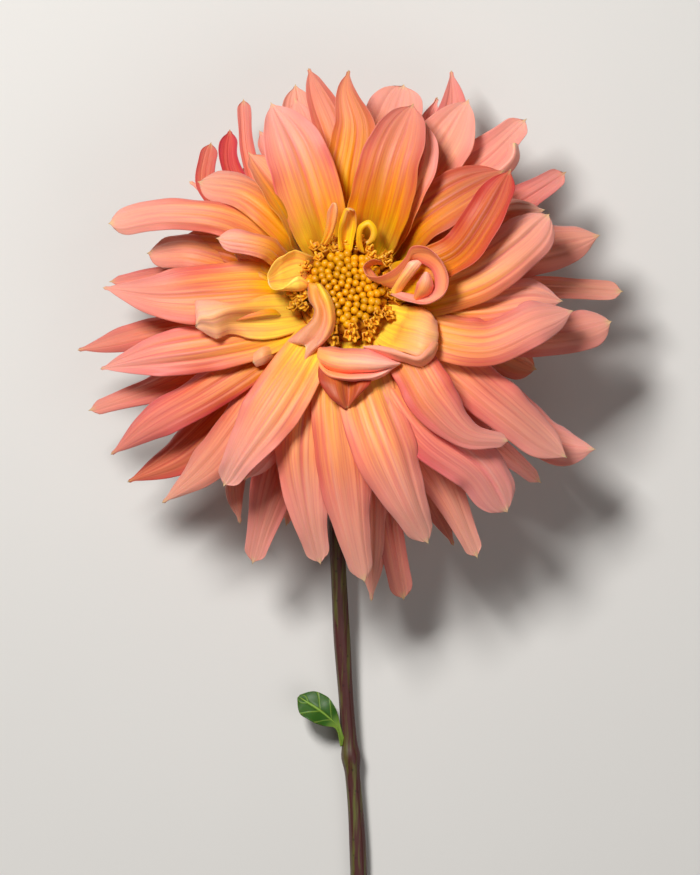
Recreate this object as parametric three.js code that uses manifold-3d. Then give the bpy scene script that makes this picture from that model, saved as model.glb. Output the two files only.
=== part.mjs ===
import * as THREE from 'three';
import { mergeVertices } from 'three/addons/utils/BufferGeometryUtils.js';
import Module from 'manifold-3d';

const wasm = await Module();
wasm.setup();

// A cut dahlia lying face up on its back petals and its stem. Millimetres and degrees.
// Everything is placed from the middle of the disc: +X right, +Y towards the top petals,
// +Z up, away from the surface that the flower lies on.
const DISC_AT = [-2, 82, 60];
const FLOOR = -DISC_AT[2];
const TILT = 18;
const GAP = 0.3;
const PETAL_THICKNESS = 0.8;
const DISC_RADIUS = 14.6;
const DISC_RISE = 4.5;
const DISC_SEAT = 2.6;
const BUD_COUNT = 85;
const BUD_RADIUS = 1.15;
const OPEN_FLORET_COUNT = 16;
const OPEN_FLORET_LENGTH = 4.4;
const BRACT_COUNT = 8;
const BRACT_WIDTH = 7;
const STEM_RADIUS = 2.8;
const STEM_SIDES = 8;
const STEM_STEPS = 20;
const STEM_HOLLOW_RADIUS = 1.5;
const STEM_HOLLOW_DEPTH = 14;
const GOLDEN_ANGLE = 180 * (3 - Math.sqrt(5));

// Radius and depth, behind the disc's face, where each ring of petals leaves the head,
// and how steeply it rises from the bloom's plane there
const ROWS = [
  { radius: 16.5, depth: 3.6, rise: 66 },
  { radius: 17, depth: 5, rise: 56 },
  { radius: 17, depth: 8.5, rise: 42 },
  { radius: 16.5, depth: 12.5, rise: 25 },
  { radius: 15, depth: 16.5, rise: 8 },
  { radius: 13, depth: 20, rise: -12 },
  { radius: 10.5, depth: 23, rise: -30 },
];
const ROOT_SINK = 4.5;
const HEAD_DEPTH = 25.5;
const HEAD_PROFILE = [
  [8.5, -25.5], [15, -23.5], [20, -19], [22.5, -14], [22, -10], [19, -6.5], [16.6, -2.6],
];

// How a petal narrows to its end: the share of its width that it tapers to, where along
// its length the end starts to close, and the shape of that closing
const ENDS = {
  blunt: { taper: 0.5, from: 0.92, fullness: 2, roundness: 0.6 },
  round: { taper: 0.85, from: 0.76, fullness: 2.2, roundness: 0.5 },
  ogive: { taper: 0.85, from: 0.55, fullness: 1.9, roundness: 0.9 },
  point: { taper: 0.65, from: 0.55, fullness: 1.4, roundness: 1 },
};
const BASE_SHARE = 0.4;
const WIDEST_AT = 0.52;
const POINT_WIDTH = 1.3;

// The petals that show from the front, in sectors. Each has its ring, the points that
// its midrib passes, its tip, its width, and, at the base, the middle and the tip, the
// angle that its section curls through and its roll, if it is rolled. A roll above zero
// lifts the left side, looking from the base to the tip.
const TOP_PETALS = [
  { row: 2, width: 23, end: 'ogive', cup: [90, 30, 60],
    via: [[-9, 30, 2], [-16, 48, 3]], tip: [-25, 64, -5] },
  { row: 4, width: 13, end: 'point', cup: [60, 30, 90],
    via: [[-13, 48, -20]], tip: [-17, 71, -33] },
  { row: 4, width: 11, end: 'ogive', cup: [60, 20, 40],
    via: [[-12, 46, -13]], tip: [-17, 66, -24] },
  { row: 3, width: 14, end: 'point', cup: [70, 50, 140], roll: [0, -15, -20],
    via: [[-3, 40, -12], [-9, 60, -16]], tip: [-12, 76.5, -26] },
  { row: 3, width: 16, end: 'point', cup: [70, 40, 140], roll: [0, -10, -20],
    via: [[1, 38, -7], [3.5, 57, -8]], tip: [1, 75, -16] },
  { row: 4, width: 22, end: 'round', cup: [60, 30, 60],
    via: [[10, 45, -20], [17, 61, -27]], tip: [20, 71, -34] },
  { row: 2, width: 22, end: 'ogive', cup: [100, 70, 150], roll: [0, -5, -5],
    via: [[9, 28, 3], [16, 47, 6]], tip: [23, 63.5, -2] },
  { row: 2, width: 15, end: 'ogive', cup: [90, 30, 60], roll: [0, -25, -10],
    via: [[17, 28, -2], [24, 43, -2]], tip: [27, 56, -8] },
  { row: 3, width: 20, end: 'ogive', cup: [70, 30, 70],
    via: [[24, 36, -9], [35, 53, -12]], tip: [42, 65.5, -19] },
  { row: 5, width: 10, end: 'point', cup: [60, 30, 120],
    via: [[30, 55, -26]], tip: [36.5, 76, -38] },
  { row: 5, width: 8, end: 'point', cup: [60, 60, 150], roll: [0, 10, 20],
    via: [[24, 48, -30]], tip: [31.5, 67, -42] },
  { row: 4, width: 13, end: 'blunt', cup: [60, 40, 80],
    via: [[30, 34, -14], [47, 49, -17]], tip: [60.5, 60.5, -25] },
  { row: 3, width: 17, end: 'ogive', cup: [80, 40, 90], roll: [0, -15, -10],
    via: [[29, 25, -1], [40, 35, 1]], tip: [54, 42, -3] },
  { row: 5, width: 5.5, end: 'round', cup: [60, 60, 90],
    via: [[-23, 44, -24]], tip: [-35, 66, -36] },
  { row: 4, width: 9, end: 'ogive', cup: [60, 50, 90],
    via: [[-19, 38, -17]], tip: [-29, 55, -25] },
  { row: 5, width: 7, end: 'point', cup: [60, 90, 150],
    via: [[-27, 40, -23]], tip: [-39, 55.5, -33] },
  { row: 4, width: 7.5, end: 'round', cup: [60, 60, 60], roll: [0, 0, 10],
    via: [[-31, 33, -17]], tip: [-46, 51, -28] },
  { row: 5, width: 4, end: 'point', cup: [60, 60, 120],
    via: [[-38, 28, -24]], tip: [-53, 38, -32] },
];
const LEFT_PETALS = [
  { row: 1, width: 13, end: 'ogive', cup: [120, 100, 120], roll: [0, 20, 10],
    via: [[-20, 32, 4]], tip: [-32.5, 48, -2] },
  { row: 2, width: 16, end: 'round', cup: [90, 60, 40], roll: [0, 20, 10],
    via: [[-18, 20, 0], [-33, 32, 1]], tip: [-49, 35.5, -7] },
  { row: 1, width: 9.5, end: 'round', cup: [100, 40, 20], roll: [0, 10, 0],
    via: [[-27, 15.5, 11]], tip: [-43, 18, 10] },
  { row: 2, width: 13, end: 'ogive', cup: [90, 60, 40],
    via: [[-26, 6, 1]], tip: [-37, 12.5, -1] },
  { row: 2, width: 12, end: 'round', cup: [90, 50, 60], roll: [0, 0, -10],
    via: [[-24, 16, -2], [-43, 25, 2], [-60, 27, 0]], tip: [-80, 23.5, -9] },
  { row: 3, width: 12, end: 'ogive', cup: [70, 40, 50], roll: [0, -10, -10],
    via: [[-36, 15, -8]], tip: [-58, 19.5, -13] },
  { row: 4, width: 15, end: 'round', cup: [60, 30, 20], roll: [0, 10, 10],
    via: [[-34, 10, -13], [-52, 13.5, -14]], tip: [-67, 10, -20] },
  { row: 5, width: 9, end: 'blunt', cup: [60, 40, 40],
    via: [[-55, 7, -24]], tip: [-80, 4, -33] },
  { row: 2, width: 20, end: 'point', cup: [80, 35, 120],
    via: [[-24, 1, 1], [-45, 1, 4], [-64, 0, 1]], tip: [-82, 1.5, -9] },
  { row: 2, width: 14, end: 'point', cup: [80, 45, 120], roll: [0, -10, 0],
    via: [[-24, -14, 1], [-44, -18, 3], [-66, -21, 0]], tip: [-83, -26, -11] },
  { row: 4, width: 11, end: 'point', cup: [60, 40, 90],
    via: [[-40, -9, -13], [-65, -13, -15]], tip: [-91, -19.5, -26] },
  { row: 4, width: 11, end: 'blunt', cup: [60, 40, 50],
    via: [[-38, -19, -13], [-62, -30, -16]], tip: [-87, -40, -27] },
  { row: 3, width: 16, end: 'point', cup: [70, 40, 70],
    via: [[-24, -19, -3], [-47, -34, -1], [-66, -46, -6]], tip: [-79.5, -55, -15] },
  { row: 4, width: 12, end: 'point', cup: [60, 40, 60],
    via: [[-40, -31, -15]], tip: [-62, -42, -24] },
  { row: 4, width: 12, end: 'point', cup: [60, 40, 60],
    via: [[-38, -38, -13], [-57, -52, -17]], tip: [-74, -64, -27] },
];
const LOWER_PETALS = [
  { row: 3, width: 15, end: 'point', cup: [70, 45, 90],
    via: [[-28, -33, -1], [-47, -55, -4]], tip: [-62, -71.5, -14] },
  { row: 1, width: 19.5, end: 'blunt', cup: [90, 35, 100], roll: [0, -5, 0],
    via: [[-16, -26, 10], [-27, -43, 14], [-36, -57, 10]], tip: [-41, -65.5, 3] },
  { row: 3, width: 13, end: 'ogive', cup: [70, 40, 70],
    via: [[-21, -42, 2]], tip: [-34, -63.5, -5] },
  { row: 5, width: 8, end: 'point', cup: [60, 40, 90],
    via: [[-26, -50, -19]], tip: [-36, -78.5, -29] },
  { row: 4, width: 15, end: 'blunt', cup: [60, 70, 110], roll: [0, -15, 0],
    via: [[-17, -46, -8], [-26, -72, -14]], tip: [-31.5, -92, -25] },
  { row: 5, width: 8, end: 'ogive', cup: [60, 50, 90],
    via: [[-13, -54, -18]], tip: [-20, -79, -27] },
  { row: 2, width: 18, end: 'blunt', cup: [80, 40, 100],
    via: [[-10, -37, 6], [-12.5, -57, 7], [-11, -78, 0]], tip: [-8.5, -92, -8] },
  { row: 2, width: 19, end: 'blunt', cup: [80, 40, 90],
    via: [[-3, -34, 8], [-1, -54, 10], [2, -76, 4]], tip: [6.5, -98, -6] },
  { row: 4, width: 10, end: 'point', cup: [60, 40, 90],
    via: [[7, -60, -12]], tip: [9, -105, -29] },
  { row: 4, width: 11, end: 'round', cup: [60, 60, 100],
    via: [[13, -60, -14]], tip: [20, -104.5, -31] },
  { row: 1, width: 22, end: 'blunt', cup: [90, 35, 80],
    via: [[7, -34, 10], [14, -54, 15], [21, -71, 10]], tip: [28, -85, 0] },
  { row: 4, width: 12, end: 'point', cup: [60, 40, 90],
    via: [[22, -50, -13]], tip: [37, -86, -29] },
  { row: 3, width: 13, end: 'blunt', cup: [70, 50, 110],
    via: [[19, -40, -2], [35, -68, -7]], tip: [45.5, -90, -18] },
  { row: 2, width: 17, end: 'round', cup: [80, 40, 50],
    via: [[17, -30, 8], [29, -47, 11], [44, -62, 6]], tip: [54.5, -75, -3] },
  { row: 1, width: 17, end: 'point', cup: [90, 50, 60], roll: [0, 10, 10],
    via: [[21, -22, 13], [31, -38, 18], [41, -48, 15]], tip: [55, -50.5, 8] },
  { row: 4, width: 12, end: 'blunt', cup: [60, 40, 50],
    via: [[38, -40, -11]], tip: [66.5, -64.5, -26] },
  { row: 2, width: 17, end: 'ogive', cup: [80, 40, 80],
    via: [[28, -18, 3], [53, -38, 5]], tip: [75, -56, -6] },
  { row: 4, width: 13, end: 'ogive', cup: [60, 40, 80],
    via: [[35, -22, -10], [58, -38, -12]], tip: [85, -53.5, -22] },
];
const RIGHT_PETALS = [
  { row: 5, width: 16, end: 'round', cup: [60, 30, 40],
    via: [[44, -16, -20]], tip: [65, -26, -30] },
  { row: 1, width: 17, end: 'ogive', cup: [90, 45, 70],
    via: [[26, -13, 8], [48, -16, 12], [64, -13, 9]], tip: [77, -6.5, 2] },
  { row: 3, width: 13, end: 'ogive', cup: [70, 40, 70],
    via: [[33, -8, -5], [62, -14, -8]], tip: [90.5, -10, -19] },
  { row: 3, width: 14, end: 'ogive', cup: [70, 35, 60],
    via: [[30, -4, 0], [50, -2, 2]], tip: [70, -1, -4] },
  { row: 4, width: 8, end: 'round', cup: [60, 90, 120],
    via: [[38, 1, -13], [66, 1, -16]], tip: [94.5, 0.5, -26] },
  { row: 2, width: 18, end: 'round', cup: [90, 40, 60], roll: [0, 10, 0],
    via: [[27, 0, 6], [46, 6, 11], [60, 16, 9]], tip: [69, 26, 3] },
  { row: 3, width: 15, end: 'ogive', cup: [70, 60, 80],
    via: [[34, 9, -8], [60, 14, -10]], tip: [86.5, 19, -20] },
  { row: 4, width: 13, end: 'ogive', cup: [60, 30, 60],
    via: [[40, 18, -8]], tip: [67.5, 28.5, -13] },
  { row: 4, width: 11, end: 'blunt', cup: [60, 50, 160],
    via: [[36, 20, -14], [60, 33, -18]], tip: [75, 42, -27] },
  { row: 1, width: 16, end: 'ogive', cup: [90, 55, 90], roll: [0, -20, -15],
    via: [[24, 6, 10], [38, 13, 16], [48, 27, 17]], tip: [56, 41, 9] },
];

// The hidden back rings, by rule. The last ring lies down on the surface at its tips.
const BACK_RINGS = [
  { row: 5, count: 6, turn: 12, reach: 60, drop: 22, width: 16, landing: false },
  { row: 6, count: 8, turn: 22, reach: 56, drop: 0, width: 15, landing: true },
];
const STEM_SIDE = 270;
const STEM_CLEARANCE = 20;

// The curled petals round the disc, as stations along each: place, width, roll, curl
const SCROLLS = [
  // left: a hood that folds back over the disc's edge
  { row: 1, stations: [
    [-19, 8, 1, 10, 0, 70], [-25, 6, 8, 13, 10, 110], [-23, 3, 15, 10, 10, 120],
    [-15, 3, 16, 5, 0, 90],
  ] },
  // left, over the disc: a band that folds down to the lower left
  { row: 0, stations: [
    [-11.5, 1, 8, 5, 60, 60], [-9, -3, 13, 7, 30, 50], [-8, -9, 14, 9, 10, 40],
    [-16, -20, 9, 5, 0, 30],
  ] },
  // below: a broad petal that rises to the right, twists and lies along the disc's edge
  { row: 1, stations: [
    [22, -10, 5, 15, 20, 60], [28, -16, 11, 12, 60, 50], [20, -23, 14, 6, 110, 30],
    [4, -23, 15, 8, 170, 50], [-8, -23.5, 13, 6, 170, 70],
  ] },
  // right: a wall that stands on its base and runs back round the disc
  { row: 1, stations: [
    [27, -3, 5, 10, -50, 40], [34, 5, 9, 11, -70, 30], [29, 14, 10, 10, -80, 20],
    [20, 10, 10, 9, -80, 20], [9, 5.5, 9, 7, -60, 30], [8, 10, 7, 4, -40, 30],
  ] },
  // right: the band inside that wall
  { row: 0, stations: [
    [20, 4, 6, 5, 40, 40], [26, 8.5, 8, 6, 60, 50], [29, 2, 8, 6, 60, 50],
    [25, -2, 6, 3, 40, 30],
  ] },
  // top: two narrow curled petals
  { row: 0, stations: [[-5, 21, 3, 3, 30, 60], [-4, 29.5, 4, 2.5, 30, 60]] },
  { row: 0, stations: [[1, 21, 4, 5.5, 0, 140], [2, 28, 6, 4, 0, 160]] },
  // lower middle: two short petals hanging in the shadow
  { row: 1, stations: [[-3, -30, 6, 9, 0, 60], [-2, -40, 5, 4, 0, 80]] },
  { row: 1, stations: [[3, -28, 6, 8, 0, 60], [5, -37, 5, 4, 0, 80]] },
  // left: a petal with a folded, twisted end
  { row: 1, stations: [[-28, -7, 9, 10, 0, 40], [-43, -7, 12, 12, 0, -40], [-50, -10.5, 9, 7, 0, -60]] },
  // left below: a small turned-over petal
  { row: 3, stations: [[-22, -17, 3, 6, 0, 60], [-31, -22, 4, 6, 0, -60]] },
  // top right: the curled strip on a back petal's edge
  { row: 4, stations: [[42, 34, -13, 5, 20, 90], [57, 51, -13, 4, 20, 120]] },
];

const radians = THREE.MathUtils.degToRad;
const vector = (point) => new THREE.Vector3(...point);
const BLOOM_AXIS = vector([0, Math.sin(radians(TILT)), Math.cos(radians(TILT))]);
const BLOOM_UP = vector([0, Math.cos(radians(TILT)), -Math.sin(radians(TILT))]);
const BLOOM_RIGHT = vector([1, 0, 0]);

// Direction away from the bloom's axis at a bearing, from +X towards the top petals
function outward(bearing) {
  return BLOOM_RIGHT.clone()
    .multiplyScalar(Math.cos(radians(bearing)))
    .addScaledVector(BLOOM_UP, Math.sin(radians(bearing)));
}

// Point in the bloom at a radius, a bearing and a depth behind the disc's face
function inBloom(radius, bearing, depth) {
  return outward(bearing).multiplyScalar(radius).addScaledVector(BLOOM_AXIS, -depth);
}

function bearingOf(point) {
  const place = vector(point);
  return THREE.MathUtils.radToDeg(Math.atan2(place.dot(BLOOM_UP), place.dot(BLOOM_RIGHT)));
}

// Smooth value at a share of the way through rows of numbers at rising places
function curveThrough(rows, places, share) {
  const last = rows.length - 1;
  let k = 0;
  while (k < last - 1 && share > places[k + 1]) {
    k += 1;
  }
  const slope = (i, n) => (rows[i + 1][n] - rows[i][n]) / (places[i + 1] - places[i]);
  const tangent = (i, n) => {
    if (i === 0 || i === last) {
      return slope(Math.min(i, last - 1), n);
    }
    const before = places[i] - places[i - 1];
    const after = places[i + 1] - places[i];
    return (slope(i, n) * before + slope(i - 1, n) * after) / (before + after);
  };
  const span = places[k + 1] - places[k];
  const t = (share - places[k]) / span;
  return rows[k].map((from, n) => (
    (2 * t ** 3 - 3 * t ** 2 + 1) * from
    + (t ** 3 - 2 * t ** 2 + t) * span * tangent(k, n)
    + (3 * t ** 2 - 2 * t ** 3) * rows[k + 1][n]
    + (t ** 3 - t ** 2) * span * tangent(k + 1, n)
  ));
}

// Places of points along their chain, from 0 to 1
function chainPlaces(points) {
  const places = [0];
  for (let k = 1; k < points.length; k += 1) {
    places.push(places[k - 1] + vector(points[k - 1]).distanceTo(vector(points[k])));
  }
  return places.map((place) => place / places.at(-1));
}

// The two points where a petal of a row leaves the head: sunk in it, and just outside
function rootPoints(row, bearing) {
  const { radius, depth, rise } = ROWS[row];
  const leaving = outward(bearing)
    .multiplyScalar(Math.cos(radians(rise)))
    .addScaledVector(BLOOM_AXIS, Math.sin(radians(rise)));
  const rim = inBloom(radius, bearing, depth);
  return [-ROOT_SINK, ROOT_SINK].map((step) => rim.clone().addScaledVector(leaving, step).toArray());
}

function widthShare(share, end, width) {
  const { taper, from, fullness, roundness } = ENDS[end];
  const swell = Math.sin((Math.PI / 2) * Math.min(share / WIDEST_AT, 1)) ** 0.7;
  const past = THREE.MathUtils.smoothstep(share, WIDEST_AT, 1);
  const closing = Math.max((share - from) / (1 - from), 0);
  const body = (BASE_SHARE + (1 - BASE_SHARE) * swell) * THREE.MathUtils.lerp(1, taper, past);
  return Math.max(body * (1 - closing ** fullness) ** roundness, POINT_WIDTH / width);
}

// One closed blade along a midrib. at(share) gives place, width, roll and curl.
function blade(at, across, shares) {
  const step = 0.01;
  const place = (share) => vector(at(share).place);
  const rows = shares.map((share) => {
    const { width, roll, curl } = at(share);
    const centre = place(share);
    const along = place(Math.min(share + step, 1)).sub(place(Math.max(share - step, 0))).normalize();
    const chord = place(1).sub(place(0)).normalize();
    const heading = along.clone().addScaledVector(chord, 0.35);
    const side = BLOOM_AXIS.clone().cross(heading);
    side.addScaledVector(along, -side.dot(along)).normalize();
    side.applyAxisAngle(along, radians(roll));
    const face = along.clone().cross(side);
    const half = radians(curl) / 2 || 1e-4;
    const radius = width / 2 / Math.sin(THREE.MathUtils.clamp(half, -1.4, 1.4));
    return Array.from({ length: across + 1 }, (_, n) => {
      const turn = half * ((2 * n) / across - 1);
      const point = centre.clone()
        .addScaledVector(side, radius * Math.sin(turn))
        .addScaledVector(face, radius * (1 - Math.cos(turn)));
      const normal = face.clone().multiplyScalar(Math.cos(turn)).addScaledVector(side, -Math.sin(turn));
      return { point, normal };
    });
  });
  return closedSheet(rows);
}

// A sheet of points with normals, given its thickness and split alike on both faces
function closedSheet(rows) {
  const across = rows[0].length;
  const size = rows.length * across;
  const positions = [];
  for (const offset of [PETAL_THICKNESS / 2, -PETAL_THICKNESS / 2]) {
    for (const { point, normal } of rows.flat()) {
      positions.push(...point.clone().addScaledVector(normal, offset).toArray());
    }
  }
  const index = [];
  for (let r = 0; r + 1 < rows.length; r += 1) {
    for (let c = 0; c + 1 < across; c += 1) {
      const a = r * across + c;
      const [b, d, e] = [a + 1, a + across, a + across + 1];
      index.push(a, e, b, a, d, e);
      index.push(a + size, b + size, e + size, a + size, e + size, d + size);
    }
  }
  const rim = [];
  for (let c = 0; c < across; c += 1) rim.push(c);
  for (let r = 1; r < rows.length; r += 1) rim.push(r * across + across - 1);
  for (let c = across - 2; c >= 0; c -= 1) rim.push((rows.length - 1) * across + c);
  for (let r = rows.length - 2; r > 0; r -= 1) rim.push(r * across);
  rim.forEach((from, n) => {
    const to = rim[(n + 1) % rim.length];
    index.push(from, to, to + size, from, to + size, from + size);
  });
  const geometry = new THREE.BufferGeometry();
  geometry.setAttribute('position', new THREE.Float32BufferAttribute(positions, 3));
  geometry.setIndex(index);
  return geometry;
}

// Sample places along a blade, closer together where its end closes
function sharesOf(count) {
  return Array.from({ length: count + 1 }, (_, n) => 1 - (1 - n / count) ** 1.25);
}

function petal({ row, width, end, cup, roll = [0, 0, 0], via, tip }) {
  const points = [...rootPoints(row, bearingOf(via[0])), ...via, tip];
  const places = chainPlaces(points);
  const at = (share) => {
    const [turn] = curveThrough(roll.map((value) => [value]), [0, 0.5, 1], share);
    const [curl] = curveThrough(cup.map((value) => [value]), [0, 0.5, 1], share);
    const place = curveThrough(points, places, share);
    return { place, width: width * widthShare(share, end, width), roll: turn, curl };
  };
  return blade(at, row < 2 ? 3 : 2, sharesOf(row < 3 ? 5 : 4));
}

function scroll({ row, stations }) {
  const stops = stations.map((station) => station.slice(0, 3));
  const points = [...rootPoints(row, bearingOf(stops[0])), ...stops];
  const places = chainPlaces(points);
  const [, , , width, roll, curl] = stations[0];
  const shapes = [
    [width * 0.6, 0, 60],
    [width * 0.8, roll / 2, curl],
    ...stations.map((station) => station.slice(3)),
  ];
  const at = (share) => {
    const [wide, turn, bend] = curveThrough(shapes, places, share);
    const place = curveThrough(points, places, share);
    return { place, width: Math.max(wide, POINT_WIDTH), roll: turn, curl: bend };
  };
  return blade(at, 2, sharesOf(2 * points.length - 2));
}

// A back petal at a bearing: it arches out and down, and may lie down at its tip
function backPetal({ row, reach, drop, width, landing }, bearing, draw) {
  const away = reach * (1 - 0.08 * draw);
  const tipAt = inBloom(away, bearing, 0);
  const low = landing ? FLOOR : Math.max(-drop - 14, FLOOR + 14);
  const middle = inBloom(away * 0.55, bearing, ROWS[row].depth + (landing ? 14 : 2)).toArray();
  const settled = vector([tipAt.x * 0.84, tipAt.y * 0.84, low + (landing ? 0.3 : 5)]).toArray();
  const tip = [tipAt.x, tipAt.y, low + (landing ? 0.1 : 0)];
  return { row, width, end: 'round', cup: [60, 40, landing ? 8 : 60], via: [middle, settled], tip };
}

function backPetals() {
  return BACK_RINGS.flatMap((ring) => {
    const bearings = Array.from({ length: ring.count }, (_, n) => ring.turn + (360 * n) / ring.count);
    return bearings
      .filter((bearing) => Math.abs(bearing - STEM_SIDE) > STEM_CLEARANCE)
      .map((bearing, n) => backPetal(ring, bearing, (n * 0.618) % 1));
  });
}

// Closed three.js geometry as a solid, placed by an optional matrix
function solid(geometry, matrix = new THREE.Matrix4()) {
  const bare = new THREE.BufferGeometry();
  bare.setAttribute('position', geometry.attributes.position.clone());
  bare.setIndex(geometry.index);
  bare.applyMatrix4(matrix);
  const merged = mergeVertices(bare, 1e-4);
  const index = [];
  for (let n = 0; n < merged.index.count; n += 3) {
    const corners = [0, 1, 2].map((k) => merged.index.getX(n + k));
    if (new Set(corners).size === 3) {
      index.push(...corners);
    }
  }
  return new wasm.Manifold(new wasm.Mesh({
    numProp: 3,
    vertProperties: new Float32Array(merged.attributes.position.array),
    triVerts: new Uint32Array(index),
  }));
}

const joined = (solids) => solids.reduce((whole, next) => whole.add(next));

// The one body that a union makes, without loose scraps and with its hollows filled
function oneBody(whole) {
  const bodies = whole.simplify(0.15).decompose();
  return bodies.reduce((largest, next) => (next.volume() > largest.volume() ? next : largest));
}

function geometryOf(manifold) {
  const { vertProperties, triVerts } = manifold.getMesh();
  const geometry = new THREE.BufferGeometry();
  geometry.setAttribute('position', new THREE.Float32BufferAttribute(vertProperties, 3));
  geometry.setIndex([...triVerts]);
  return geometry;
}

// Turned solid about the bloom's axis from a profile of radius and height
function turned(profile, sides, bearing = 0, at = vector([0, 0, 0]), axis = BLOOM_AXIS) {
  const geometry = new THREE.LatheGeometry(profile.map(([r, h]) => new THREE.Vector2(r, h)), sides);
  const turn = new THREE.Quaternion().setFromUnitVectors(vector([0, 1, 0]), axis)
    .multiply(new THREE.Quaternion().setFromAxisAngle(vector([0, 1, 0]), radians(bearing)));
  return solid(geometry, new THREE.Matrix4().compose(at, turn, vector([1, 1, 1])));
}

// The fleshy head that every petal grows from, under the disc
function head() {
  return turned([[0, -HEAD_DEPTH], ...HEAD_PROFILE, [0, -DISC_SEAT]], 20);
}

// Room that the petals leave for the disc
function discRoom() {
  const top = DISC_RISE + 3.4;
  return turned([[0, -DISC_SEAT], [15.6, -DISC_SEAT], [17.6, 0.2], [18, 4.6], [9, top], [0, top]], 24);
}

function rayPetals() {
  const petals = [...TOP_PETALS, ...LEFT_PETALS, ...LOWER_PETALS, ...RIGHT_PETALS, ...backPetals()];
  const blades = [...petals.map(petal), ...SCROLLS.map(scroll)];
  const whole = joined([head(), ...blades.map((shape) => solid(shape))]);
  const slab = new THREE.BoxGeometry(400, 400, 20).translate(0, 0, FLOOR - 10);
  return oneBody(whole.subtract(discRoom()).subtract(solid(slab)));
}

// Height of the disc's dome at a radius
const domeHeight = (radius) => DISC_RISE * (1 - (radius / (DISC_RADIUS + 2)) ** 2);

// A floret stands on the dome, square to it
function floret(profile, radius, bearing) {
  const slope = (2 * DISC_RISE * radius) / (DISC_RADIUS + 2) ** 2;
  const axis = outward(bearing).multiplyScalar(slope).add(BLOOM_AXIS).normalize();
  return turned(profile, 5, bearing, inBloom(radius, bearing, -domeHeight(radius)), axis);
}

function discFlorets() {
  const dome = [[0, GAP - DISC_SEAT], [DISC_RADIUS, GAP - DISC_SEAT]];
  for (const share of [1, 0.6, 0]) {
    dome.push([DISC_RADIUS * share, domeHeight(DISC_RADIUS * share)]);
  }
  const bud = [[0, -1], [BUD_RADIUS, 0.5], [BUD_RADIUS * 0.7, 1.7], [0, 2.1]];
  const mouth = OPEN_FLORET_LENGTH - 0.7;
  const open = [[0, -0.8], [0.9, 0.2], [0.8, mouth - 0.9], [1.4, mouth], [0, mouth - 0.5]];
  const solids = [turned(dome, 16)];
  for (let n = 0; n < BUD_COUNT; n += 1) {
    const radius = (DISC_RADIUS - 1) * Math.sqrt((n + 0.5) / BUD_COUNT);
    solids.push(floret(bud, radius, n * GOLDEN_ANGLE));
  }
  for (let n = 0; n < OPEN_FLORET_COUNT; n += 1) {
    solids.push(floret(open, DISC_RADIUS - 0.8, (360 * n) / OPEN_FLORET_COUNT));
  }
  return oneBody(joined(solids));
}

// Green bracts behind the head: a shallow cup with blades that bend back from it
function bracts() {
  const top = -HEAD_DEPTH - GAP;
  const profile = [[0, top - 4], [4, top - 4], [6.5, top - 3], [8.3, top - 1], [8.3, top], [0, top]];
  const cup = turned(profile, 16);
  const blades = Array.from({ length: BRACT_COUNT }, (_, n) => {
    const bearing = (360 * (n + 0.5)) / BRACT_COUNT;
    const points = [[5, 1.5], [9, 3], [12.5, 7], [14.5, 13]]
      .map(([radius, depth]) => inBloom(radius, bearing, HEAD_DEPTH + depth).toArray());
    const places = chainPlaces(points);
    const at = (share) => ({
      place: curveThrough(points, places, share),
      width: BRACT_WIDTH * widthShare(share, 'ogive', BRACT_WIDTH),
      roll: 0,
      curl: 50,
    });
    return solid(blade(at, 2, sharesOf(4)));
  });
  return oneBody(joined([cup, ...blades]));
}

// The stem's middle line: down from the bracts, bent to lie along -Y, to the cut end
const STEM_TOP_DEPTH = HEAD_DEPTH + 4 + 2 * GAP;
const STEM_PATH = [
  inBloom(0, 0, STEM_TOP_DEPTH).toArray(),
  [0, -11.5, -35.5],
  [-0.5, -16.5, -42.5],
  [-1, -26, -46.5],
  [-2, -50, -48.5],
  [-2.7, -78, -50.2],
  [-1.5, -110, -51.8],
  [0.8, -145, -53.6],
  [4, -183, -55.4],
  [5.5, -240, FLOOR + STEM_RADIUS],
];
const STEM_NODE_AT = [2.6, -161, -54.4];

// The stem's outside, or, with a margin, the room that its neighbours leave for it
function stemBody(margin = 0) {
  const route = new THREE.CatmullRomCurve3(STEM_PATH.map(vector), false, 'centripetal');
  const section = new THREE.Shape().absarc(0, 0, STEM_RADIUS + margin, 0, 2 * Math.PI);
  const sweep = { extrudePath: route, steps: STEM_STEPS, curveSegments: STEM_SIDES, bevelEnabled: false };
  const rod = solid(new THREE.ExtrudeGeometry(section, sweep));
  const flare = [[0, -5], [2.4, -5], [2.9, -2.5], [3.6, 0], [0, 0]];
  const collar = turned(flare, STEM_SIDES, 0, vector(STEM_PATH[0]));
  const swelling = [[0, -7], [2.4, -7], [3.3, -1.5], [3.3, 1.5], [2.4, 7], [0, 7]]
    .map(([radius, height]) => [radius && radius + margin, height]);
  const joint = turned(swelling, STEM_SIDES, 0, vector(STEM_NODE_AT), vector([0.05, 1, 0.03]).normalize());
  return joined([rod, collar, joint]);
}

function stem() {
  const bore = [
    [0, -1], [STEM_HOLLOW_RADIUS, -1],
    [STEM_HOLLOW_RADIUS, STEM_HOLLOW_DEPTH], [0, STEM_HOLLOW_DEPTH + 1],
  ];
  const inwards = vector([-0.03, 1, 0.03]).normalize();
  return oneBody(stemBody().subtract(turned(bore, 8, 0, vector(STEM_PATH.at(-1)), inwards)));
}

// The small stem leaf: a stalk that widens to a waved spoon-shaped blade
const LEAF_STATIONS = [
  [-0.7, -155.5, -53.5, 2, 0, 90],
  [-3, -148.5, -50.5, 2.6, 0, 90],
  [-6, -145.5, -49.5, 8, -10, 60],
  [-10, -142.5, -49, 11, 10, 30],
  [-14, -140, -51, 7, -5, 50],
  [-16, -138.7, -52, 1.4, 0, 60],
];

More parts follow.
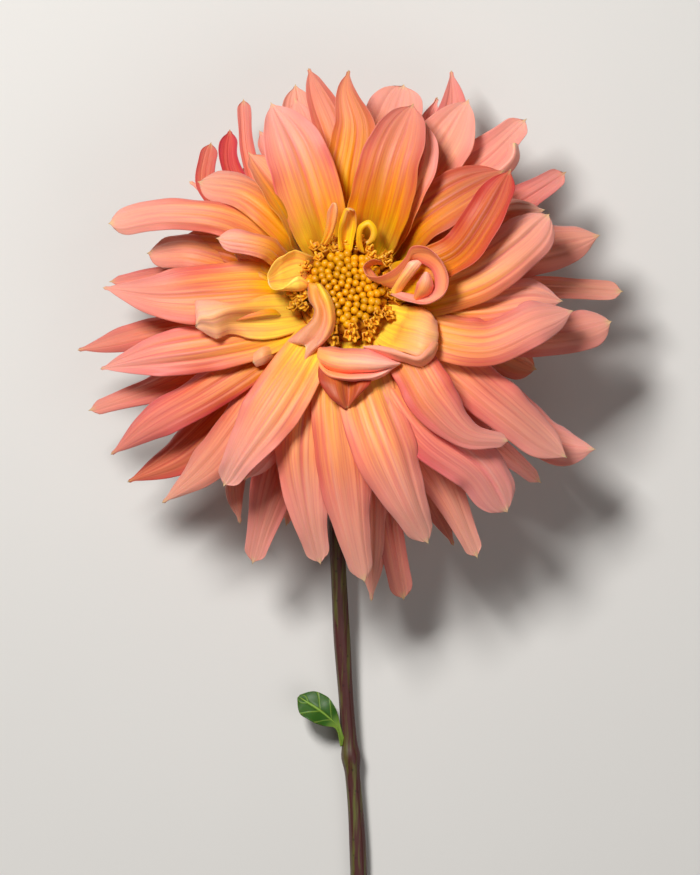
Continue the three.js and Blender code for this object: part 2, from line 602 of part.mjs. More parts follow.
function leaf() {
  const points = LEAF_STATIONS.map((station) => station.slice(0, 3));
  const places = chainPlaces(points);
  const shapes = LEAF_STATIONS.map((station) => station.slice(3));
  const at = (share) => {
    const [width, roll, curl] = curveThrough(shapes, places, share);
    const place = curveThrough(points, places, share);
    return { place, width: Math.max(width, POINT_WIDTH), roll, curl };
  };
  return oneBody(solid(blade(at, 4, sharesOf(12))).subtract(stemBody(GAP)));
}

const LOOKS = {
  ray_petals: { color: '#f08a63', roughness: 0.55 },
  disc_florets: { color: '#d79a10', roughness: 0.6 },
  bracts: { color: '#4f7a2a', roughness: 0.6 },
  stem: { color: '#5a2a22', roughness: 0.55 },
  leaf: { color: '#3f6b22', roughness: 0.55 },
};
const SHAPES = { ray_petals: rayPetals, disc_florets: discFlorets, bracts, stem, leaf };

const flower = new THREE.Group();
flower.position.set(...DISC_AT);
for (const [name, make] of Object.entries(SHAPES)) {
  const material = new THREE.MeshStandardMaterial({ ...LOOKS[name], metalness: 0 });
  const mesh = new THREE.Mesh(geometryOf(make()), material);
  mesh.name = name;
  flower.add(mesh);
}

export default flower;
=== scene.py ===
"""A cut dahlia lying face up: its petals, disc, bracts, stem and leaf, round the solid model."""
import math

import bmesh
import bpy
import numpy as np
from mathutils import Matrix, Vector


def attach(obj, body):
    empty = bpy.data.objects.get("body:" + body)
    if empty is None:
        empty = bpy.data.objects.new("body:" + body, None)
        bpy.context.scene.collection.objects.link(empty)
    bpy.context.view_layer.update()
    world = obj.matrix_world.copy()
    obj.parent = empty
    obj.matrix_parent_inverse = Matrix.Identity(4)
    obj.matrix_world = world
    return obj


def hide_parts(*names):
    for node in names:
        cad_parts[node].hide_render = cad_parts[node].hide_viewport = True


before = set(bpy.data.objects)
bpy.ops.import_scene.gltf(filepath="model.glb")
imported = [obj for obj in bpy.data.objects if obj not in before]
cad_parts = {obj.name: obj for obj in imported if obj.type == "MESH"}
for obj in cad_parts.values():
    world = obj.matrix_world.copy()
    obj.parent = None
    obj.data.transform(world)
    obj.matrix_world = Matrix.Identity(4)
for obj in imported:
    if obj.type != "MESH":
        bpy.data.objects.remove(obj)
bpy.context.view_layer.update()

bl_info = {
    "name": "Cut dahlia",
    "version": (1, 0, 0),
    "blender": (4, 5, 0),
    "location": "3D View > Sidebar > Dahlia",
    "description": "Makes the petals, disc, bracts, stem, leaf and stage of a cut dahlia",
    "category": "Object",
}

BODY = "root"
MM = 0.001

# The photograph's frame, and where the disc's middle stands in it
PHOTO_WIDTH = 700
PHOTO_HEIGHT = 875
DISC_PIXEL = (345, 292)
MM_PER_PIXEL = 0.34

# The camera's height, sensor and reach, the floor's half width, and the lamps: where each
# stands from the bloom, and how wide it is. Metres, apart from the sensor's millimetres.
CAMERA_HEIGHT = 4.0
SENSOR = 36.0
CAMERA_REACH = 10
FLOOR_REACH = 4.0
LAMPS = {
    "key": ((-0.35, 0.45, 0.95), 0.3),
    "fill": ((0.5, -0.5, 0.9), 0.8),
}

# Millimetres and degrees, from the middle of the disc: +X right, +Y towards the top
# petals, +Z up, away from the surface that the flower lies on
DISC_AT = np.array([-2.0, 82.0, 60.0])
FLOOR = -DISC_AT[2]
TILT = 18
DISC_RADIUS = 14.6
DISC_RISE = 4.5
GOLDEN_ANGLE = 180 * (3 - math.sqrt(5))

# Radius and depth, behind the disc's face, where each ring of petals leaves the head,
# and how steeply it rises from the bloom's plane there
ROWS = [
    (16.5, 3.6, 66), (17, 5, 56), (17, 8.5, 42), (16.5, 12.5, 25),
    (15, 16.5, 8), (13, 20, -12), (10.5, 23, -30),
]
ROOT_SINK = 4.5

# Profiles of the turned pieces, as radius and height about their axis, in millimetres. A
# closed floret's is in its own widths.
HEAD_DEPTH = 25.5
HEAD_PROFILE = [
    (0, -HEAD_DEPTH), (6, -25.2), (11, -23.6), (14.6, -19.5), (16.6, -14), (16.8, -9), (16.2, -5),
    (15.4, -2.4), (0, -1.6),
]
CUP_TOP = -HEAD_DEPTH - 0.2
CUP_PROFILE = [
    (0, CUP_TOP - 4.2), (3.4, CUP_TOP - 4.2), (5, CUP_TOP - 3.6), (7, CUP_TOP - 2),
    (8.2, CUP_TOP - 0.8), (8.3, CUP_TOP), (0, CUP_TOP),
]
HEAD_SIDES = 48
CUP_SIDES = 40
BUD_SIDES = 10
DOME_RADIUS = DISC_RADIUS + 2
DOME_SINK = 0.4
DOME_FOOT = -2.3
BUD_PROFILE = [
    (0, -0.5), (0.34, -0.4), (0.47, 0.1), (0.5, 0.45), (0.45, 0.75), (0.32, 0.98), (0.14, 1.08),
    (0, 1.04),
]
OPEN_PROFILE = [
    (0, -1), (0.8, -0.8), (0.95, 1.4), (1.3, 2.6), (1.7, 3.5), (1.15, 3.3), (0.5, 2.2), (0, 1.8),
]
LOBES = 5
STYLE_RADII = (0.42, 0.28)
STYLE_SAMPLES = 12
STYLE_SIDES = 6

# Seeds of the random draws, and faces across and along a hidden petal
CURLED_SEED = 11
BACK_SEED = 12
FLORET_SEED = 3
BRACT_SEED = 5
BACK_FACES = (14, 30)

# How a petal narrows to its end: the share of its width that it tapers to, how many widths
# long its closing end is, two powers that shape that closing, and the length in millimetres
# of the small point that its midrib ends in
ENDS = {
    "beak": (0.3, 0.16, 2.2, 0.5, 0.6),
    "blunt": (0.42, 0.24, 2.0, 0.6, 1.0),
    "round": (0.86, 0.62, 2.2, 0.5, 0.8),
    "ogive": (0.84, 0.9, 1.9, 0.75, 0.8),
    "point": (0.75, 1.5, 1.4, 0.9, 0.6),
}
BASE_SHARE = 0.4
WIDEST_AT = 0.52
POINT_WIDTH = 1.3

# Three long creases on a petal's face: where they lie, from -1 to 1 across it, and the most
# of the groove's depth that they take. Then how wide they are, and the lip beside each.
CREASES = ((-0.5, 0.7), (0.0, 1.0), (0.48, 0.7))
CREASE_WIDTH = 0.06
LIP_ASIDE = 0.14
LIP_WIDTH = 0.1
LIP_SHARE = 0.4

# Low ridges beside them, as half turns across and a share of the groove's depth, and waves
# along the petal and along its two edges, as turns from base to tip and a share. They are
# given for a petal as wide as the last value, and are lower on a narrower one.
RIDGES = ((2.1, 0.4), (4.4, 0.12))
WAVES = ((1.05, 1), (2.15, 0.6))
WAVE_HEIGHT = 0.45
LEFT_RIPPLES = ((3.1, 1), (6.7, 0.5))
RIGHT_RIPPLES = ((2.7, 1), (5.9, 0.5))
FULL_DEPTH_WIDTH = 14

# A skin's look: tone, hue and the length of the golden base. A tone above zero is lighter, a
# hue above zero yellower and one below it rosier, and the golden base is in millimetres.
# A tone is partly the petal's own colour and partly painted light: below zero it paints shade on petals that
# lie in shadow, above zero it lightens a few that lie in shade.
GOLD = 16
PLAIN_LOOK = (0.0, 0.0, float(GOLD))

# The petals that show from the front, in sectors. Each has its ring, its width, how it
# ends, the angle that its section curls through and its roll at the base, the middle and
# the tip, and the points that its midrib passes to its tip. A roll above zero lifts the
# left side, looking from the base to the tip. tone, hue and gold are its look.
TOP_PETALS = [
    dict(row=1, width=22, end="ogive", cup=(90, 30, 60),
         path=[(-11, 30, 2), (-17, 48, 3), (-25, 64, -5)]),
    dict(row=4, width=14, end="ogive", cup=(60, 30, 90),
         path=[(-14, 48, -20), (-17, 71, -33)]),
    dict(row=4, width=11, end="ogive", cup=(60, 20, 40),
         path=[(-12, 46, -13), (-17, 66, -24)]),
    dict(row=3, width=13, end="point", cup=(70, 50, 140), roll=(0, -15, -20), tone=-0.9,
         path=[(0, 40, -12), (-4.5, 57, -14), (-9.5, 69, -19), (-12.3, 76.5, -26)]),
    dict(row=3, width=17, end="point", cup=(70, 40, 140), roll=(0, -10, -20), tone=-1, gold=24,
         path=[(1, 38, -5), (3.5, 57, -8), (0.5, 70, -13), (1.3, 75.5, -17)]),
    dict(row=4, width=22, end="round", cup=(60, 30, 60),
         path=[(10, 45, -20), (17, 61, -27), (20, 71, -34)]),
    dict(row=2, width=21, end="ogive", cup=(100, 70, 150), roll=(0, -5, -5), gold=20, tone=-0.7, hue=-0.5,
         path=[(12, 28, 3), (17, 47, 6), (23, 63.5, -2)]),
    dict(row=2, width=14, end="ogive", cup=(90, 30, 60), roll=(0, -15, -5), tone=0.5, gold=20,
         path=[(18.5, 28, 1.5), (25, 43, 4), (27.5, 57, -2)]),
    dict(row=3, width=21, end="ogive", cup=(70, 30, 70),
         path=[(24, 36, -9), (35, 53, -12), (42, 65.5, -19)]),
    dict(row=5, width=13, end="point", cup=(60, 30, 120), tone=-0.4,
         path=[(33, 50, -26), (37.2, 64, -32), (36.5, 76, -38)]),
    dict(row=5, width=8, end="point", cup=(60, 60, 150), roll=(0, 10, 20),
         path=[(24, 48, -30), (31.5, 67, -42)]),
    dict(row=4, width=20, end="blunt", cup=(60, 40, 80), tone=-0.1,
         path=[(30, 33, -14), (49, 47, -17), (61.5, 59, -25)]),
    dict(row=3, width=20, end="ogive", cup=(80, 40, 90), roll=(0, -15, -10), tone=-1.5, hue=0.5,
         path=[(25, 23.5, 0), (38, 32.5, 2), (53.5, 41, -3)]),
    dict(row=5, width=5.5, end="round", cup=(60, 60, 90), tone=-0.6,
         path=[(-28, 32, -20), (-33, 47, -26), (-34.8, 66, -35)]),
    dict(row=4, width=9, end="ogive", cup=(60, 50, 90),
         path=[(-19, 38, -17), (-29, 55, -25)]),
    dict(row=5, width=7, end="ogive", cup=(60, 90, 150), tone=-2, hue=-2.2,
         path=[(-31, 30, -20), (-39.5, 44, -27), (-39.5, 55.5, -33)]),
    dict(row=4, width=7, end="round", cup=(60, 60, 60), roll=(0, 0, 10), tone=-1.3,
         path=[(-37, 25, -16), (-47.5, 37, -22), (-46, 51, -29)]),
    dict(row=5, width=4, end="point", cup=(60, 60, 120),
         path=[(-38, 28, -24), (-53, 38, -32)]),
]
LEFT_PETALS = [
    dict(row=2, width=14, end="ogive", cup=(120, 100, 120), roll=(0, 20, 10), tone=-0.8, gold=24,
         path=[(-20.5, 30.5, 4), (-32.5, 47, -1)]),
    dict(row=2, width=15, end="round", cup=(90, -60, -35), roll=(0, 20, 10), tone=-0.7, gold=20,
         path=[(-18.5, 21.5, 0), (-33.5, 34.5, 0), (-49.5, 37.5, -7)]),
    dict(row=1, width=9.5, end="round", cup=(100, -45, -20), roll=(0, 10, 0),
         path=[(-27, 15.5, 11), (-43, 18, 10)]),
    dict(row=2, width=13, end="ogive", cup=(90, -65, -35),
         path=[(-26, 6, 1), (-37, 12.5, -1)]),
    dict(row=2, width=12, end="round", cup=(90, -55, -45), roll=(0, 0, -10),
         path=[(-24, 16, -2), (-43, 25.5, 3.5), (-60, 27, 0.5), (-80, 23.5, -9)]),
    dict(row=3, width=12, end="ogive", cup=(70, -45, -35), roll=(0, -10, -10), tone=-1.6, hue=0,
         path=[(-36, 15, -8), (-56, 18.5, -15)]),
    dict(row=4, width=14.5, end="round", cup=(60, -35, -20), roll=(0, 10, 10), tone=-1,
         path=[(-35, 9.5, -11), (-53, 14.5, -9.5), (-67, 13.5, -17)]),
    dict(row=5, width=9, end="blunt", cup=(60, -45, -35), tone=-1.5,
         path=[(-55, 7, -24), (-80, 4, -33)]),
    dict(row=2, width=22, end="point", cup=(80, -35, 60),
         path=[(-24, 0.5, 1), (-45, 0, 4), (-64, -1, 1), (-82, 1.5, -9)]),
    dict(row=2, width=16, end="point", cup=(80, -45, 60), roll=(0, -10, 0),
         path=[(-24, -14, 1), (-44, -18.5, 3), (-66, -22, 0), (-83, -26, -11)]),
    dict(row=4, width=11, end="point", cup=(60, -45, -70), tone=-0.8,
         path=[(-40, -9, -13), (-65, -13, -15), (-91, -19.5, -26)]),
    dict(row=4, width=12.5, end="blunt", cup=(60, -45, -35), tone=-1.3,
         path=[(-38, -19, -13), (-62, -31, -16), (-87, -40, -27)]),
    dict(row=3, width=15, end="point", cup=(70, -45, -55), tone=-0.8,
         path=[(-24, -19, -3), (-46.5, -33, -1), (-65.5, -44, -6), (-79.5, -55, -15)]),
    dict(row=4, width=12, end="point", cup=(60, -45, -45),
         path=[(-40, -31, -15), (-62, -42, -24)]),
    dict(row=4, width=16, end="point", cup=(60, -45, -45), tone=-1.3,
         path=[(-38, -38, -13), (-57, -55.5, -17), (-74, -64.5, -27)]),
]
LOWER_PETALS = [
    dict(row=3, width=15, end="point", gold=12, cup=(70, -45, -70),
         path=[(-28, -34, -1), (-46.5, -58, -4), (-62, -71.5, -14)]),
    dict(row=1, width=19.5, end="blunt", gold=15, cup=(90, -35, 40), roll=(0, -5, 0), tone=0.4, hue=0.2,
         path=[(-16, -26, 10), (-27, -43, 14), (-36, -57, 10), (-41, -65.5, 3)]),
    dict(row=3, width=13, end="ogive", gold=12, cup=(70, -45, -55),
         path=[(-21, -42, 2), (-34, -63.5, -5)]),
    dict(row=5, width=8.5, end="point", gold=12, cup=(60, -45, -70),
         path=[(-32, -50, -19), (-38, -66, -24), (-36, -78.5, -29)]),
    dict(row=4, width=18, end="blunt", gold=12, cup=(60, -70, 50), roll=(0, -15, 0),
         path=[(-17, -46, -8), (-26, -72, -14), (-31.5, -92, -25)]),
    dict(row=5, width=8, end="ogive", gold=12, cup=(60, -55, -70),
         path=[(-13, -54, -18), (-20, -79, -27)]),
    dict(row=2, width=19, end="blunt", gold=15, cup=(80, -45, 40), tone=0.4, hue=0.3,
         path=[(-12.5, -36, 6), (-14.5, -52, 7.5), (-12.5, -74, 2), (-8.5, -92, -8)]),
    dict(row=2, width=19, end="blunt", gold=15, cup=(80, -45, -70), tone=0.4, hue=0.3,
         path=[(-3, -34, 8), (-1, -54, 10), (2, -76, 4), (6.5, -98, -6)]),
    dict(row=4, width=13, end="point", gold=12, cup=(60, -45, -70),
         path=[(8.5, -60, -12), (9, -105, -29)]),
    dict(row=4, width=9.5, tone=-1, end="round", gold=12, cup=(60, -65, 40),
         path=[(12, -60, -14), (17, -90, -24), (20, -104.5, -31)]),
    dict(row=1, width=22, end="blunt", gold=15, cup=(90, -35, -65), tone=0.4, hue=0.3,
         path=[(7, -34, 10), (14, -54, 15), (21, -71, 10), (28, -85, 0)]),
    dict(row=4, width=12, tone=-1.2, end="point", gold=12, cup=(60, -45, -70),
         path=[(22, -50, -13), (37, -86, -29)]),
    dict(row=3, width=15, end="blunt", gold=12, cup=(70, -55, 50),
         path=[(19, -40, -2), (35, -68, -7), (45, -90, -18)]),
    dict(row=2, width=20, end="round", gold=12, cup=(80, -45, -35),
         path=[(17, -30, 8), (29.5, -47, 11), (46.5, -60.5, 6), (55, -74.5, -3)]),
    dict(row=1, width=17, end="beak", gold=12, cup=(90, -55, -45), roll=(0, 10, 10),
         path=[(21, -22, 13), (31, -38, 18), (41, -48, 15), (55, -50.5, 8)]),
    dict(row=4, width=12, end="blunt", gold=12, cup=(60, -45, -35),
         path=[(38, -40, -11), (66.5, -64.5, -26)]),
    dict(row=2, width=17, end="ogive", gold=12, cup=(80, -45, -65),
         path=[(28, -18, 3), (53, -38, 5), (75, -56, -6)]),
    dict(row=4, width=16, end="ogive", gold=12, cup=(60, -45, -65),
         path=[(35, -23, -10), (58, -41, -12), (74, -52, -17), (85, -53.5, -22)]),
]
RIGHT_PETALS = [
    dict(row=5, width=16, end="round", cup=(60, -35, -35), tone=-1.8, hue=0.5,
         path=[(44, -16, -20), (65, -26, -30)]),
    dict(row=1, width=17, end="ogive", cup=(90, -45, -55),
         path=[(26, -13, 8), (47, -17, 12), (66, -9.5, 9), (77, -6.5, 2)]),
    dict(row=3, width=16, end="round", cup=(70, -45, -55),
         path=[(33, -8, -5), (62, -14, -8), (78, -13, -13), (90.5, -10, -19)]),
    dict(row=3, width=15.5, end="ogive", cup=(70, -35, -45), tone=0.5, gold=22,
         path=[(30, -4.5, 3), (50, -3.5, 6.5), (64, -1.5, 4), (73.5, -3, -1)]),
    dict(row=4, width=8, end="round", cup=(60, -100, 60), tone=-0.8,
         path=[(38, 1.5, -13), (66, 2, -16), (94.5, 0.5, -26)]),
    dict(row=2, width=20, end="round", cup=(90, -35, -45), roll=(0, 10, 0), gold=20, tone=-0.5, hue=-0.2,
         path=[(27, 0, 6), (46, 7, 12), (60, 17, 10.5), (69, 26, 4)]),
    dict(row=3, width=19.5, end="ogive", cup=(70, -65, -65), tone=-0.5,
         path=[(34, 9, -8), (60, 14.5, -10), (86.5, 19.5, -20)]),
    dict(row=4, width=12, end="ogive", cup=(60, -35, -45), tone=1,
         path=[(40, 19, -3), (57, 27, -3), (67.5, 28, -8)]),
    dict(row=4, width=16, end="blunt", cup=(60, -55, 100), tone=-1, hue=-1,
         path=[(36, 20, -14), (60, 31.5, -18), (75, 41, -27)]),
    dict(row=1, width=16, end="ogive", cup=(60, 55, 90), roll=(0, -20, -15), tone=-2.2, hue=-0.5,
         path=[(24, 6, 7), (38.5, 12.5, 12), (48.5, 26, 13.5), (56, 41, 8)]),
]

# Petals that curl or fold, as points across them, from the right edge to the left looking
# from the base to the tip, at stations along them. One whose back shows has them the other
# way round. Those with a ring grow from the head, and the others lie on their neighbours.
# start is the hidden length before the first station.
FOLDED_PETALS = [
    # left: a hood over the disc's edge, whose lower side folds in
    dict(row=None, gold=30, tone=1.4, start=8, net=[
        [(-10, 11.5, -2), (-11, 10, -2.5), (-12, 7.5, -2.5), (-12.5, 4, -2), (-12, 1, 0), (-12, 1.5, 4),
         (-11.8, 2.6, 6)],
        [(-12, 12.5, 2), (-13, 10.7, 1), (-13.8, 7.5, 0.5), (-14, 3.8, 1), (-13.4, 0.8, 3), (-13.2, 1.7, 7),
         (-13, 3.7, 8.5)],
        [(-15.5, 13.7, 6), (-16, 11.5, 4), (-16.5, 7.5, 3), (-16, 3, 4), (-15.3, 0.3, 6.5), (-15.3, 2.2, 9.5),
         (-15.8, 5.3, 10.3)],
        [(-20, 12.8, 9), (-21, 10, 7), (-21, 6, 6), (-20.5, 2.2, 6.5), (-20, 0.4, 8.5), (-20, 1.2, 10.5),
         (-20, 2, 11)],
        [(-24.3, 9.5, 10.5), (-24, 7, 9), (-24, 4.8, 8.5), (-24, 2.5, 9.2), (-23.3, 0.6, 10.5),
         (-23, 0.6, 11.2), (-23, 0.7, 11.5)],
        [(-26.2, 6.3, 11.5), (-26.3, 5, 11.5), (-26.1, 3.8, 11.5), (-25.8, 2.5, 11.5), (-25, 1.2, 11.7),
         (-24.7, 0.9, 11.7), (-24.5, 0.8, 11.7)],
    ]),
    # left, over the disc: a band that shows its back and ends in two points
    dict(row=0, gold=18, tone=-0.3, hue=0.6, net=[
        [(-10, 0, 1), (-10.5, 0.5, 1.5), (-11.5, 1, 1), (-12.5, 1, 0.5), (-13.5, 0.5, 0)],
        [(-8.3, 1.3, 7), (-8.8, 1.8, 9), (-10, 2.2, 9), (-11.5, 2.3, 8.5), (-12.6, 1.8, 6)],
        [(-5, -2.5, 7.5), (-6.3, -2, 10.5), (-8.5, -2.3, 9), (-10.3, -2.5, 9.5), (-12, -3, 7)],
        [(-3.6, -7, 8), (-4.8, -7, 11.5), (-7, -7, 9.5), (-9, -6.8, 11), (-10.4, -6.5, 8)],
        [(-3.6, -11, 8.5), (-5, -11, 12), (-7.3, -10.8, 9.8), (-9.5, -9.8, 11), (-11.5, -9.5, 8.5)],
        [(-5.5, -15, 8.5), (-7, -14.8, 11.5), (-9.5, -14.8, 9.3), (-13, -14, 10.3), (-15.5, -13.5, 8)],
        [(-8, -18, 8.5), (-9.5, -18, 10.5), (-12, -17.3, 8), (-15, -17.3, 9.5), (-18.8, -16, 8)],
        [(-11.5, -21.5, 8.5), (-12.5, -21, 9.5), (-12.8, -18.5, 8.2), (-14.5, -18, 8.2), (-20.2, -17.3, 7.3)],
        [(-14, -23.6, 8.3), (-14, -23.3, 8.4), (-13.3, -19, 8.6), (-14, -18.2, 8), (-20.3, -17.5, 7.2)],
    ]),
    # its golden edge, folded over towards the disc
    dict(row=None, gold=17, tone=1, start=16, net=[
        [(-9.8, 2.3, 9.2), (-8.9, 2.6, 10.2), (-8.0, 2.1, 9)],
        [(-8.2, -1.5, 11.2), (-6.8, -1.2, 11.8), (-5.2, -1.2, 9.5)],
        [(-6.6, -6, 12), (-5.2, -6, 12.4), (-3.5, -6, 9.8)],
        [(-6.5, -10.5, 12.4), (-5, -10.8, 12.8), (-3.4, -11, 10.2)],
        [(-8, -15, 11.9), (-6.8, -15.3, 12.2), (-5.3, -15.3, 10.2)],
        [(-10.5, -18.5, 9.7), (-10, -19, 9.9), (-9.3, -19, 9.4)],
    ]),
    # below: a band along the disc's edge, whose outer side rolls up to a pale rim
    dict(row=1, gold=20, tone=1.2, start=22, net=[
        [(-8.6, -25, 6.5), (-9.2, -24, 8.5), (-8.3, -23.5, 9), (-9.3, -22, 11), (-9, -20, 10.5),
         (-7, -18.5, 8)],
        [(-6, -28.5, 10), (-6.3, -27.6, 13.5), (-6, -26.3, 10), (-6.5, -24, 14.5), (-6.3, -21, 14),
         (-5, -18.6, 10)],
        [(-1, -30.2, 12), (-1, -29.2, 16), (-1, -27.7, 12), (-1, -25.5, 16.5), (-1, -22, 16),
         (-0.5, -19, 11.5)],
        [(5, -30.4, 13), (5, -29.3, 17), (5, -27.8, 13), (5, -25.5, 17.5), (5, -22.5, 17), (5.5, -19.3, 12)],
        [(10, -29.8, 13), (10, -28.8, 16.5), (10.5, -27.3, 14), (11, -25.5, 18), (11, -23.5, 18),
         (10.5, -21, 13)],
        [(14, -28.3, 13), (14, -27.3, 16), (15, -26, 15.5), (16, -25, 17.5), (16.5, -24.3, 17.5),
         (16.5, -23.5, 14)],
        [(16, -26.3, 13.5), (16.5, -26, 15), (17.5, -25.3, 15.5), (18.5, -24.8, 16), (18.8, -24.5, 16),
         (19, -24.3, 15)],
    ]),
    # lower right: a scoop with a golden floor and a broad shoulder
    dict(row=None, gold=18, tone=1.2, start=4, net=[
        [(8, -14, 0), (9.5, -11.5, -1.5), (11.5, -8.5, -2.5), (12.5, -6, -3), (13, -3, -3)],
        [(11, -17.5, 8), (13.5, -14.5, 5), (15.5, -11, 3.5), (17, -7.5, 3), (18, -4.5, 3)],
        [(13.5, -18.8, 13), (16, -16, 9), (18.3, -12, 7.5), (20, -8.5, 7), (22, -5, 7)],
        [(17, -19.8, 17), (18.5, -17, 15), (20.2, -13, 14), (22, -9.5, 13), (25, -5.2, 11)],
        [(21, -21, 19), (22.5, -18, 18), (24, -14, 17), (25.5, -10, 15.5), (28, -6.5, 13)],
        [(25, -22.2, 20), (26.5, -19.5, 19.5), (28, -15.5, 18), (29, -11.5, 16), (30.3, -9, 13.5)],
        [(28.3, -22, 18), (30, -19.5, 17.5), (31, -16, 16), (31.2, -12.5, 14), (31, -10, 12)],
        [(29, -21.5, 13), (30.5, -19, 13), (31, -16, 12), (31, -12.5, 10), (30.5, -10, 9)],
    ]),
    # lower right: that scoop's folded lip, which shows its back
    dict(row=None, gold=16, tone=0.4, start=34, net=[
        [(31.2, -20, 14), (31.3, -18.5, 16), (30.8, -17, 17), (29.5, -17, 18)],
        [(29.5, -23, 16), (29.5, -21.5, 18.5), (29, -19.5, 20), (27.5, -19.5, 20.5)],
        [(26, -25.3, 16.5), (25.5, -24, 18.5), (25.5, -22.8, 21), (25, -21.9, 21)],
        [(21, -24.3, 16), (20.5, -23, 18.5), (20.5, -21.9, 20.5), (20.5, -21, 20.5)],
        [(16, -22.8, 14.5), (15.5, -21.5, 17), (15.5, -20.3, 19), (16, -19.2, 18.8)],
        [(11, -21, 12.5), (10.5, -20, 14.5), (10.5, -19.1, 16), (11, -18.3, 15.5)],
        [(6.5, -19.2, 11.5), (6.3, -18.9, 12), (6.2, -18.7, 12.2), (6, -18.5, 12)],
    ]),
    # right: a wall that starts in a small loop, runs up and back round in a large one
    dict(row=None, gold=31, tone=-0.1, hue=0.2, start=50, net=[
        [(13, 9, 4), (12.7, 9.8, 7), (12.3, 10.4, 9)],
        [(10.5, 9.3, 5), (9.8, 10.6, 8), (9.2, 11, 10.5)],
        [(8.6, 8.3, 6), (6.8, 8.8, 9), (6.2, 8.6, 12)],
        [(10, 6.3, 7), (7.8, 5.2, 10), (7.2, 5.8, 13)],
        [(13.3, 2.2, 8), (12, 3, 11), (11.3, 5, 14)],
        [(17.5, 1, 10), (16.8, 3.6, 13), (16, 7.2, 15.5)],
        [(21.5, 5, 13), (21, 8, 16), (20.3, 11.2, 18)],
        [(23.5, 10, 15), (23.3, 13, 18), (23, 15.3, 20)],
        [(26, 9.5, 16.5), (28, 13, 19), (27.5, 15, 21.5)],
        [(29, 7.5, 17), (32.3, 9.8, 19.5), (32, 11, 22.5)],
        [(30.5, 3.5, 17.5), (34.3, 4, 20), (34.9, 4.3, 23)],
        [(29.5, 0, 17), (33, -1.3, 19), (33.4, -0.8, 22)],
        [(27, -1.5, 15.5), (28.5, -3.7, 17.5), (28.8, -3.9, 20.5)],
        [(21.7, -0.7, 12), (21.7, -2.8, 14), (21.5, -3.5, 17)],
        [(16.5, 0.5, 6), (16, -0.5, 8), (15.5, -1, 11)],
    ]),
    # right: the floor under that wall
    dict(row=1, gold=22, tone=-1.2, net=[
        [(16.5, -2, 2), (17, 2, 1), (16, 8, 1)],
        [(24, -3, 10), (24, 3, 11.5), (22, 11, 11)],
        [(30, -2, 14), (30.5, 4, 15.5), (28, 11, 14.5)],
        [(32, 0, 16), (33, 4, 17.5), (31, 9, 16.5)],
    ]),
    # right: the strap and the small leaf inside that wall
    dict(row=None, gold=12, tone=1.6, start=10, net=[
        [(18.5, -0.8, 7), (17, -0.5, 8.5), (15.3, -0.3, 8)],
        [(20.5, 2, 12), (18.8, 3, 14), (17.3, 3.8, 13)],
        [(22.8, 5, 15.5), (21.2, 6.3, 17.3), (20, 7.5, 16.5)],
        [(25.3, 8.3, 17.8), (23.8, 9.5, 19), (22.3, 10.3, 18.2)],
        [(26, 9.5, 17.5), (25, 10.3, 18), (24, 10.6, 17.5)],
    ]),
    dict(row=None, gold=12, tone=0.8, start=20, net=[
        [(24.5, -3, 15), (23.8, -2.5, 15.5), (23.3, -2, 15)],
        [(29.5, 0, 18), (26.5, 0.5, 20.5), (23.9, 1, 18)],
        [(29.8, 3, 19.2), (27.5, 3.5, 21.5), (24.8, 3.5, 19)],
        [(28.5, 6, 19.5), (27.7, 6.5, 20.2), (27, 6.5, 19.5)],
    ]),
    # top: a narrow petal, folded along its middle
    dict(row=0, gold=20, tone=0.2, start=6, net=[
        [(-6.3, 16, 0.5), (-6.8, 16.2, 1.2), (-7.3, 16.3, 0.4), (-7.8, 16.4, 1), (-8.1, 16.4, 0.5)],
        [(-4, 20, 4.5), (-4.6, 20, 5.5), (-5.3, 20.2, 3.8), (-6.2, 20.4, 4.6), (-6.8, 20.4, 4)],
        [(-2.9, 24.2, 6.5), (-3.5, 24.3, 7.5), (-4.4, 24.5, 5.4), (-5.5, 24.6, 6.4), (-6.2, 24.6, 6)],
        [(-2.5, 28, 8), (-3, 28.2, 8.6), (-3.9, 28.3, 7), (-5, 28, 7.8), (-5.8, 27.6, 7.8)],
        [(-2.9, 30, 8.4), (-3.2, 30.1, 8.5), (-3.7, 30.2, 8.2), (-4.1, 30.1, 8.4), (-4.5, 29.8, 8.5)],
    ]),
    # top: a narrow hood, open towards the disc
    dict(row=0, gold=26, net=[
        [(2.2, 14, 0.5), (1.4, 14, -1), (0, 14, -1.5), (-1.6, 14, 1.5), (-0.6, 14, 0.5)],
        [(3.4, 20, 3.5), (2.4, 20, 1.5), (0.6, 20, 1), (-2.2, 20, 4.5), (-1, 20, 3.8)],
        [(3.9, 25, 6), (3, 25.5, 4), (1.4, 25.5, 3.5), (-1, 25, 7), (0.3, 24.7, 6.5)],
        [(3.3, 27.3, 8), (2.8, 27.9, 7), (2, 28.3, 7), (0.6, 27.9, 8.5), (1.2, 27.2, 8.2)],
        [(2.6, 27.4, 9), (2.3, 27.7, 9), (2, 27.8, 9), (1.5, 27.5, 9), (1.6, 27.2, 9)],
    ]),
    # top: a golden strap coiled in a ring
    dict(row=0, gold=30, net=[
        [(7, 13.2, -1), (6, 13.5, -1), (5, 14, -1)],
        [(5.7, 18.5, 2.5), (4.8, 18.7, 3.5), (3.8, 18.5, 3)],
        [(6.3, 21.2, 4), (5.7, 22, 5), (5, 22.9, 4.5)],
        [(7.7, 22.1, 4.5), (8, 23.2, 5.5), (8.2, 24.4, 5)],
        [(8.8, 20.5, 4.5), (9.7, 21, 5.5), (10.8, 21.5, 5)],
        [(8.2, 18, 4), (9, 17.7, 5), (10, 17.4, 4.5)],
        [(7, 17, 3.5), (7.2, 16.6, 4), (7.4, 15.9, 4)],
    ]),
    # lower middle: a short folded petal in the shadow, whose dark tone is painted shade
    dict(row=1, gold=12, tone=-2.3, hue=0.5, start=18, net=[
        [(-9, -26, 10), (-3.5, -27, 11), (1.2, -28, 8), (5, -28, 10.5), (8.5, -27, 11)],
